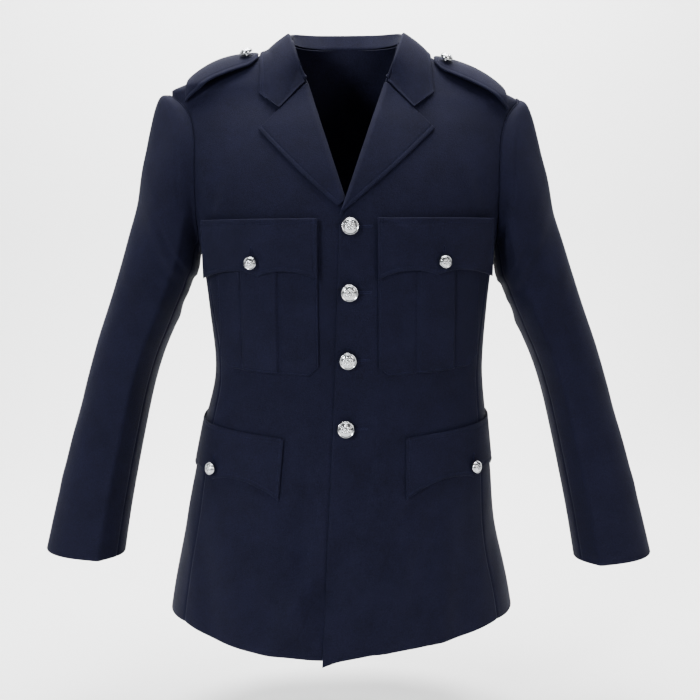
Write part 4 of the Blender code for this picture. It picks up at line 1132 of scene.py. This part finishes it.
def addButton(name, node, seat, normal, size, material):
    # Turned profile: shank, rolled rim, ring groove and dome. A rosette of
    # petals is raised on it by relief * cos(petals * angle) within two radii.
    radius = size / 2
    shank, sides = buttons["shank"], buttons["spokes"]
    share = np.linspace(1.0, 0.04, 34)
    crown = shank + 1.4 + radius * 0.52 * np.sqrt(1 - (0.97 * share) ** 2)
    groove = -0.05 * radius * np.exp(-((share - 0.80) / 0.035) ** 2)
    bead = 0.05 * radius * np.exp(-((share - 0.90) / 0.05) ** 2)
    turn = np.linspace(0.0, 2 * np.pi, sides, endpoint=False)
    petal = np.clip(0.5 + 0.5 * np.cos(buttons["petals"] * turn), 0.0, 1.0)[None, :] ** 0.6
    band = (np.exp(-((share - 0.42) / 0.16) ** 4))[:, None]
    middle = np.exp(-(share / 0.15) ** 4)[:, None]
    raised = buttons["relief"] * radius / 11.75 * (petal * band + middle)
    under = np.array([(0.30, 0.0), (0.30, shank), (0.90, shank + 0.2), (0.965, shank + 0.5),
                      (1.0, shank + 0.95), (0.995, shank + 1.35)])
    heights = np.concatenate([np.repeat(under[:, 1:], sides, 1),
                              (crown + groove + bead)[:, None] + raised])
    radii = np.concatenate([under[:, 0], 0.975 * share]) * radius
    normal = normal / np.linalg.norm(normal)
    first = np.cross(normal, (0.0, 0.0, 1.0))
    first /= np.linalg.norm(first)
    second = np.cross(normal, first)
    spoke = np.cos(turn)[:, None] * first + np.sin(turn)[:, None] * second
    base = seat + normal * buttons["gap"]
    rings = base + heights[..., None] * normal + radii[:, None, None] * spoke[None]
    top = base + normal * heights[-1].mean()
    points = np.concatenate([rings.reshape(-1, 3), [base, top]])
    number = np.arange(len(radii) * sides).reshape(len(radii), sides)
    after = np.roll(number, -1, axis=1)
    walls = np.stack([number[:-1], after[:-1], after[1:], number[1:]], -1).reshape(-1, 4)
    foot = np.stack([np.full(sides, len(points) - 2), after[0], number[0]], 1)
    cap = np.stack([np.full(sides, len(points) - 1), number[-1], after[-1]], 1)
    mesh = meshFrom(name, points, walls, np.concatenate([foot, cap]))
    addPiece(name, mesh, node, material, 50.0)


def seatButton(name, node, point, height, size, material):
    seat = placeOn(np.array([point]), height)
    _, normal = bodyDistance(seat)
    addButton(name, node, seat[0], normal[0], size, material)


def makeButtons(material):
    for number, (x, z) in enumerate(buttons["front"]):
        point = (x, onFront(np.array([x]), np.array([z]))[0], z)
        seatButton("front button %d" % (number + 1), "button_front_%d" % (number + 1), point,
                   body["lapHeight"], buttons["large"], material)
    for side, end in ((1, "left"), (-1, "right")):
        x, z = side * buttons["breast"][0], buttons["breast"][1]
        point = (x, onFront(np.array([x]), np.array([z]))[0], z)
        seatButton("breast button " + end, "button_breast_" + end, point,
                   breastFlapHeight(0, x), buttons["small"], material)
        down = np.array([buttons["skirtDown"] / scallop(0.5, flaps["skirtDrop"])])
        point = skirtFlapPlace(side, np.array([0.5]), down)[0]
        seatButton("skirt button " + end, "button_skirt_" + end, point,
                   body["layerGap"] + flaps["cloth"], buttons["small"], material)
        along = np.array([(straps["button"] - straps["outer"])
                          / (straps["inner"] - straps["outer"])])
        point = strapPoints(side, along, np.zeros((1, 1)))[0, 0]
        seatButton("strap button " + end, "button_epaulette_" + end, point,
                   strapHeight(along)[0], buttons["small"], material)
    print("buttons made")


sewing = {
    "pitch": 3.3,
    "stitchLength": 2.3,
    "stitchHalfWidth": 0.34,
    "stitchHalfHeight": 0.22,
    "sunk": 0.05,
    "holeFront": (-2.0, 27.0),
    "holeHalfGap": 1.0,
    "holeCord": 0.62,
    "holeUp": 13.5,
}

def insetRow(name, outer, distance, borders, normals=None):
    # Polyline that keeps one distance from some borders of a grid. Each point
    # carries its normal; it is kept for the sewing of that piece.
    normals = bodyDistance(outer)[1] if normals is None else normals
    both = np.concatenate([outer, normals], axis=-1)
    run = edgeDistances(outer)
    parts = []
    for border in borders:
        turned = border in ("start", "end")
        far = border in ("last", "end")

        def along(field):
            field = field.swapaxes(0, 1) if turned else field
            return field[:, ::-1] if far else field

        grid, gone = along(both), along(run[border])
        after = np.clip((gone < distance).sum(axis=1), 1, gone.shape[1] - 1)
        index = np.arange(len(gone))
        low, high = gone[index, after - 1], gone[index, after]
        part = ((distance - low) / np.maximum(high - low, 1e-9))[:, None]
        line = grid[index, after - 1] * (1 - part) + grid[index, after] * part
        keep = np.ones(len(line), bool)
        for other in borders:
            if other != border:
                keep &= along(run[other])[index, after] > distance * 0.9
        line = line[keep]
        parts.append(line[::-1] if border == "last" else line)
    stitchRows.setdefault(name, []).append(np.concatenate(parts))


def addStitches(name, lines, material):
    # One slim closed bead for each stitch: rings of an ellipse along its length.
    seats, alongs, normals = [], [], []
    for line in lines:
        steps = np.linalg.norm(np.diff(line[:, :3], axis=0), axis=1)
        total = steps.sum()
        count = max(int(total / sewing["pitch"]), 2)
        centres = readLine(line, (np.arange(count) + 0.5) / count)
        ahead = readLine(line, np.clip((np.arange(count) + 0.62) / count, 0.0, 1.0))
        seats.append(centres[:, :3])
        alongs.append(ahead[:, :3] - centres[:, :3])
        normals.append(centres[:, 3:])
    seats, along, up = (np.concatenate(v) for v in (seats, alongs, normals))
    along = along / np.maximum(np.linalg.norm(along, axis=1), 1e-9)[:, None]
    up = up - along * (up * along).sum(1)[:, None]
    up = up / np.maximum(np.linalg.norm(up, axis=1), 1e-9)[:, None]
    side = np.cross(along, up)
    reach = np.array((-0.5, -0.36, 0.0, 0.36, 0.5)) * sewing["stitchLength"]
    size = np.array((0.05, 0.75, 1.0, 0.75, 0.05))
    turn = np.linspace(0.0, 2 * np.pi, 6, endpoint=False)
    wide = sewing["stitchHalfWidth"] * size[:, None] * np.cos(turn)
    high = sewing["stitchHalfHeight"] * size[:, None] * np.sin(turn) - sewing["sunk"]
    points = (seats[:, None, None] + reach[None, :, None, None] * along[:, None, None]
              + wide[None, ..., None] * side[:, None, None] + high[None, ..., None] * up[:, None, None])
    count = len(reach) * 6
    number = np.arange(count).reshape(len(reach), 6)
    after = np.roll(number, -1, axis=1)
    walls = np.stack([number[:-1], after[:-1], after[1:], number[1:]], -1).reshape(-1, 4)
    ends = np.array([(0, 5, 4, 3), (0, 3, 2, 1)])
    far = ends[:, ::-1] + count - 6
    one = np.concatenate([walls, ends, far])
    quads = (one[None] + (np.arange(len(seats)) * count)[:, None, None]).reshape(-1, 4)
    mesh = meshFrom(name, points.reshape(-1, 3), quads)
    addPiece(name, mesh, None, material)


def addHole(name, place, first, last, height, material, scale=(1.0, 1.0)):
    # Worked buttonhole: a beaded cord laid along two sides of the slit and
    # round both ends, on the cloth at the given height. The scale is the size
    # in millimetres of one unit of the place's two coordinates.
    scale = np.array(scale)
    first, last = np.array(first) * scale, np.array(last) * scale
    line = (last - first) / np.linalg.norm(last - first)
    across = np.array((line[1], -line[0]))
    gap, cord = sewing["holeHalfGap"], sewing["holeCord"]
    half = np.linalg.norm(last - first) / 2 - gap
    turn = np.linspace(-np.pi / 2, np.pi / 2, 10)
    runs = np.linspace(-half, half, 64)
    path = np.concatenate([
        np.stack([runs, np.full_like(runs, -gap)], 1),
        np.stack([half + gap * np.cos(turn), gap * np.sin(turn)], 1)[1:-1],
        np.stack([runs[::-1], np.full_like(runs, gap)], 1),
        np.stack([-half - gap * np.cos(turn), -gap * np.sin(turn)], 1)[1:-1]])
    centre = (first + last) / 2
    seen = centre + path[:, :1] * line + path[:, 1:] * across
    seat = placeOn(place(*(seen / scale).T), height)
    _, up = bodyDistance(seat)
    along = np.roll(seat, -1, axis=0) - np.roll(seat, 1, axis=0)
    along /= np.linalg.norm(along, axis=1)[:, None]
    side = np.cross(along, up)
    spin = np.linspace(0.0, 2 * np.pi, 8, endpoint=False)
    bead = (cord * (0.85 + 0.25 * np.cos(np.arange(len(seat)) * np.pi)))[:, None, None]
    points = (seat[:, None] + bead * (np.cos(spin)[None, :, None] * side[:, None]
              + 0.7 * np.sin(spin)[None, :, None] * up[:, None]))
    number = np.arange(len(seat) * 8).reshape(-1, 8)
    nextRow, nextSpin = np.roll(number, -1, axis=0), np.roll(number, -1, axis=1)
    walls = np.stack([number, nextRow, np.roll(nextRow, -1, axis=1), nextSpin], -1)
    mesh = meshFrom(name, points.reshape(-1, 3), walls.reshape(-1, 4))
    addPiece(name, mesh, None, material)


def frontPlace(x, z):
    return np.stack([x, onFront(x, z), z], -1)


def makeSewing(thread):
    for name, lines in stitchRows.items():
        addStitches(name + " stitches", lines, thread)
    for number, (x, z) in enumerate(buttons["front"]):
        first, last = sewing["holeFront"]
        addHole("front buttonhole %d" % (number + 1), frontPlace, (x + first, z), (x + last, z),
                body["lapHeight"] + 0.05, thread)
    for side, end in ((1, "left"), (-1, "right")):
        x, z = side * buttons["breast"][0], buttons["breast"][1]
        addHole("breast buttonhole " + end, frontPlace, (x, z - 2.0),
                (x + side * 0.6, z + sewing["holeUp"] + 6.0), breastFlapHeight(0, x) + 0.05, thread)

        def flapPlace(share, down):
            return skirtFlapPlace(side, share, down)

        deep = scallop(0.5, flaps["skirtDrop"])
        addHole("skirt buttonhole " + end, flapPlace, (0.5, 0.78), (0.5, 0.55),
                body["layerGap"] + flaps["cloth"] + 0.05, thread, (flaps["skirtWidth"], -deep))
    print("sewing made")


clothLook = {
    "dark": (0.0020, 0.0022, 0.0068),
    "light": (0.0056, 0.0060, 0.0180),
    "roughness": 0.82,
    "specular": 0.07,
    "sheen": 0.014,
    "sheenTint": (0.45, 0.50, 0.78),
    "twillPeriod": 0.0011,
    "twillDepth": 0.00006,
    "fuzzScale": 620.0,
    "fuzzDepth": 0.00042,
    "mottleScale": 26.0,
    "grainScale": 640.0,
    "grainShare": 0.62,
}


def makeCloth(name, lift=1.0):
    # Wool twill: diagonal ribs and a fine fuzz in the bump, two close tones.
    material = bpy.data.materials.new(name)
    material.use_nodes = True
    tree = material.node_tree
    shader = tree.nodes["Principled BSDF"]
    shader.inputs["Roughness"].default_value = clothLook["roughness"]
    shader.inputs["Specular IOR Level"].default_value = clothLook["specular"]
    shader.inputs["Sheen Weight"].default_value = clothLook["sheen"]
    shader.inputs["Sheen Roughness"].default_value = 0.45
    shader.inputs["Sheen Tint"].default_value = (*clothLook["sheenTint"], 1.0)
    spot = tree.nodes.new("ShaderNodeTexCoord")
    mottle = tree.nodes.new("ShaderNodeTexNoise")
    mottle.inputs["Scale"].default_value = clothLook["mottleScale"]
    mottle.inputs["Detail"].default_value = 6.0
    mottle.inputs["Roughness"].default_value = 0.72
    tree.links.new(spot.outputs["Object"], mottle.inputs["Vector"])
    ramp = tree.nodes.new("ShaderNodeValToRGB")
    ramp.color_ramp.elements[0].position = 0.34
    ramp.color_ramp.elements[0].color = (*(c * lift for c in clothLook["dark"]), 1.0)
    ramp.color_ramp.elements[1].position = 0.66
    ramp.color_ramp.elements[1].color = (*(c * lift for c in clothLook["light"]), 1.0)
    grain = tree.nodes.new("ShaderNodeTexNoise")
    grain.inputs["Scale"].default_value = clothLook["grainScale"]
    grain.inputs["Detail"].default_value = 3.0
    tree.links.new(spot.outputs["Object"], grain.inputs["Vector"])
    blend = tree.nodes.new("ShaderNodeMix")
    blend.inputs["Factor"].default_value = clothLook["grainShare"]
    tree.links.new(mottle.outputs["Fac"], blend.inputs["A"])
    tree.links.new(grain.outputs["Fac"], blend.inputs["B"])
    tree.links.new(blend.outputs["Result"], ramp.inputs["Fac"])
    tree.links.new(ramp.outputs["Color"], shader.inputs["Base Color"])
    twill = tree.nodes.new("ShaderNodeTexWave")
    twill.bands_direction = "DIAGONAL"
    twill.inputs["Scale"].default_value = 2 * np.pi / (10 * clothLook["twillPeriod"]) * 0.7071
    twill.inputs["Distortion"].default_value = 0.4
    tree.links.new(spot.outputs["UV"], twill.inputs["Vector"])
    fuzz = tree.nodes.new("ShaderNodeTexNoise")
    fuzz.inputs["Scale"].default_value = clothLook["fuzzScale"]
    fuzz.inputs["Detail"].default_value = 4.0
    tree.links.new(spot.outputs["Object"], fuzz.inputs["Vector"])
    ribs = tree.nodes.new("ShaderNodeBump")
    ribs.inputs["Distance"].default_value = clothLook["twillDepth"]
    ribs.inputs["Strength"].default_value = 0.8
    tree.links.new(twill.outputs["Fac"], ribs.inputs["Height"])
    nap = tree.nodes.new("ShaderNodeBump")
    nap.inputs["Distance"].default_value = clothLook["fuzzDepth"]
    nap.inputs["Strength"].default_value = 0.7
    tree.links.new(fuzz.outputs["Fac"], nap.inputs["Height"])
    tree.links.new(ribs.outputs["Normal"], nap.inputs["Normal"])
    tree.links.new(nap.outputs["Normal"], shader.inputs["Normal"])
    return material


metalLook = {
    "colour": (0.46, 0.47, 0.49),
    "roughness": 0.13,
}


def makeMetal():
    # Polished chrome with faint wear in its roughness.
    material = bpy.data.materials.new("chromed button")
    material.use_nodes = True
    tree = material.node_tree
    shader = tree.nodes["Principled BSDF"]
    shader.inputs["Metallic"].default_value = 1.0
    shader.inputs["Base Color"].default_value = (*metalLook["colour"], 1.0)
    spot = tree.nodes.new("ShaderNodeTexCoord")
    wear = tree.nodes.new("ShaderNodeTexNoise")
    wear.inputs["Scale"].default_value = 380.0
    tree.links.new(spot.outputs["Object"], wear.inputs["Vector"])
    ramp = tree.nodes.new("ShaderNodeMapRange")
    ramp.inputs["To Min"].default_value = metalLook["roughness"] - 0.05
    ramp.inputs["To Max"].default_value = metalLook["roughness"] + 0.08
    tree.links.new(wear.outputs["Fac"], ramp.inputs["Value"])
    tree.links.new(ramp.outputs["Result"], shader.inputs["Roughness"])
    return material


studio = {
    "floor": -0.93,
    "wallAt": 1.3,
    "bend": 0.7,
    "floorColour": (0.92, 0.92, 0.92),
    "world": (1.0, 1.0, 1.0),
    "worldStrength": 0.20,
    # name, place, size, power, colour
    "lamps": (("key", (-1.7, -2.3, 0.6), 0.6, 84.0, (0.94, 0.98, 1.0)),
              ("fill", (1.5, -2.3, 0.5), 1.1, 30.0, (1.0, 0.95, 0.90)),
              ("left side", (-2.3, -0.1, 0.5), 1.2, 3.0, (1.0, 1.0, 1.0)),
              ("right side", (2.3, -0.1, 0.5), 1.2, 2.0, (1.0, 1.0, 1.0)),
              ("back wall", (0.0, 0.45, 1.9), 2.4, 330.0, (1.0, 1.0, 1.0))),
}


def makeStudio():
    # Pale floor that bends up into a wall by a quarter circle, and soft lamps.
    turn = np.linspace(0.0, np.pi / 2, 24)
    bend, back, level = studio["bend"], studio["wallAt"], studio["floor"]
    y = np.concatenate([[-6.0], back + bend * np.sin(turn), [back + bend]])
    z = np.concatenate([[level], level + bend * (1 - np.cos(turn)), [6.0]])
    x = np.array((-8.0, 8.0))
    points = np.stack([np.broadcast_to(x, (len(y), 2)), np.broadcast_to(y[:, None], (len(y), 2)),
                       np.broadcast_to(z[:, None], (len(y), 2))], -1).reshape(-1, 3)
    number = np.arange(len(points)).reshape(-1, 2)
    quads = np.stack([number[:-1, 0], number[:-1, 1], number[1:, 1], number[1:, 0]], 1)
    mesh = bpy.data.meshes.new("floor")
    mesh.from_pydata(points.tolist(), [], quads.tolist())
    mesh.shade_smooth()
    plain = bpy.data.materials.new("pale floor")
    plain.use_nodes = True
    shader = plain.node_tree.nodes["Principled BSDF"]
    shader.inputs["Base Color"].default_value = (*studio["floorColour"], 1.0)
    shader.inputs["Roughness"].default_value = 0.9
    mesh.materials.append(plain)
    floor = bpy.data.objects.new("floor", mesh)
    bpy.context.scene.collection.objects.link(floor)
    for name, place, size, power, colour in studio["lamps"]:
        light = bpy.data.lights.new(name, "AREA")
        light.shape, light.size = "DISK", size
        light.energy, light.color = power, colour
        lamp = bpy.data.objects.new(name, light)
        lamp.location = place
        aim = Vector((0.0, 1.6, 0.4)) if name == "back wall" else Vector((0.0, 0.0, -0.35))
        lamp.rotation_euler = (aim - Vector(place)).to_track_quat("-Z", "Y").to_euler()
        bpy.context.scene.collection.objects.link(lamp)
    world = bpy.data.worlds.new("studio")
    world.use_nodes = True
    sky = world.node_tree.nodes["Background"]
    sky.inputs["Color"].default_value = (*studio["world"], 1.0)
    sky.inputs["Strength"].default_value = studio["worldStrength"]
    bpy.context.scene.world = world
    print("studio made")


photoCamera = {
    "place": (0.002, -1.375, -0.215),
    "lens": 51.43,
    "tiltDown": 7.4,
    "roll": -0.45,
}


def makeCamera():
    data = bpy.data.cameras.new("photo camera")
    data.lens, data.sensor_width = photoCamera["lens"], 36.0
    camera = bpy.data.objects.new("photo camera", data)
    turn = (Matrix.Rotation(np.radians(90.0 - photoCamera["tiltDown"]), 4, "X")
            @ Matrix.Rotation(np.radians(photoCamera["roll"]), 4, "Z"))
    camera.matrix_world = Matrix.Translation(photoCamera["place"]) @ turn
    bpy.context.scene.collection.objects.link(camera)
    bpy.context.scene.camera = camera


cloth = makeCloth("navy barathea")
thread = makeCloth("navy thread", 1.8)
chrome = makeMetal()
makeFronts(cloth)
makeBacks(cloth)
makeSides(cloth)
makeLapels(cloth)
makeCollar(cloth)
makeSleeves(cloth)
makeBreastPockets(cloth)
makeBreastFlaps(cloth)
makeSkirtFlaps(cloth)
makeStraps(cloth)
makeButtons(chrome)
makeSewing(thread)
makeStudio()
makeCamera()
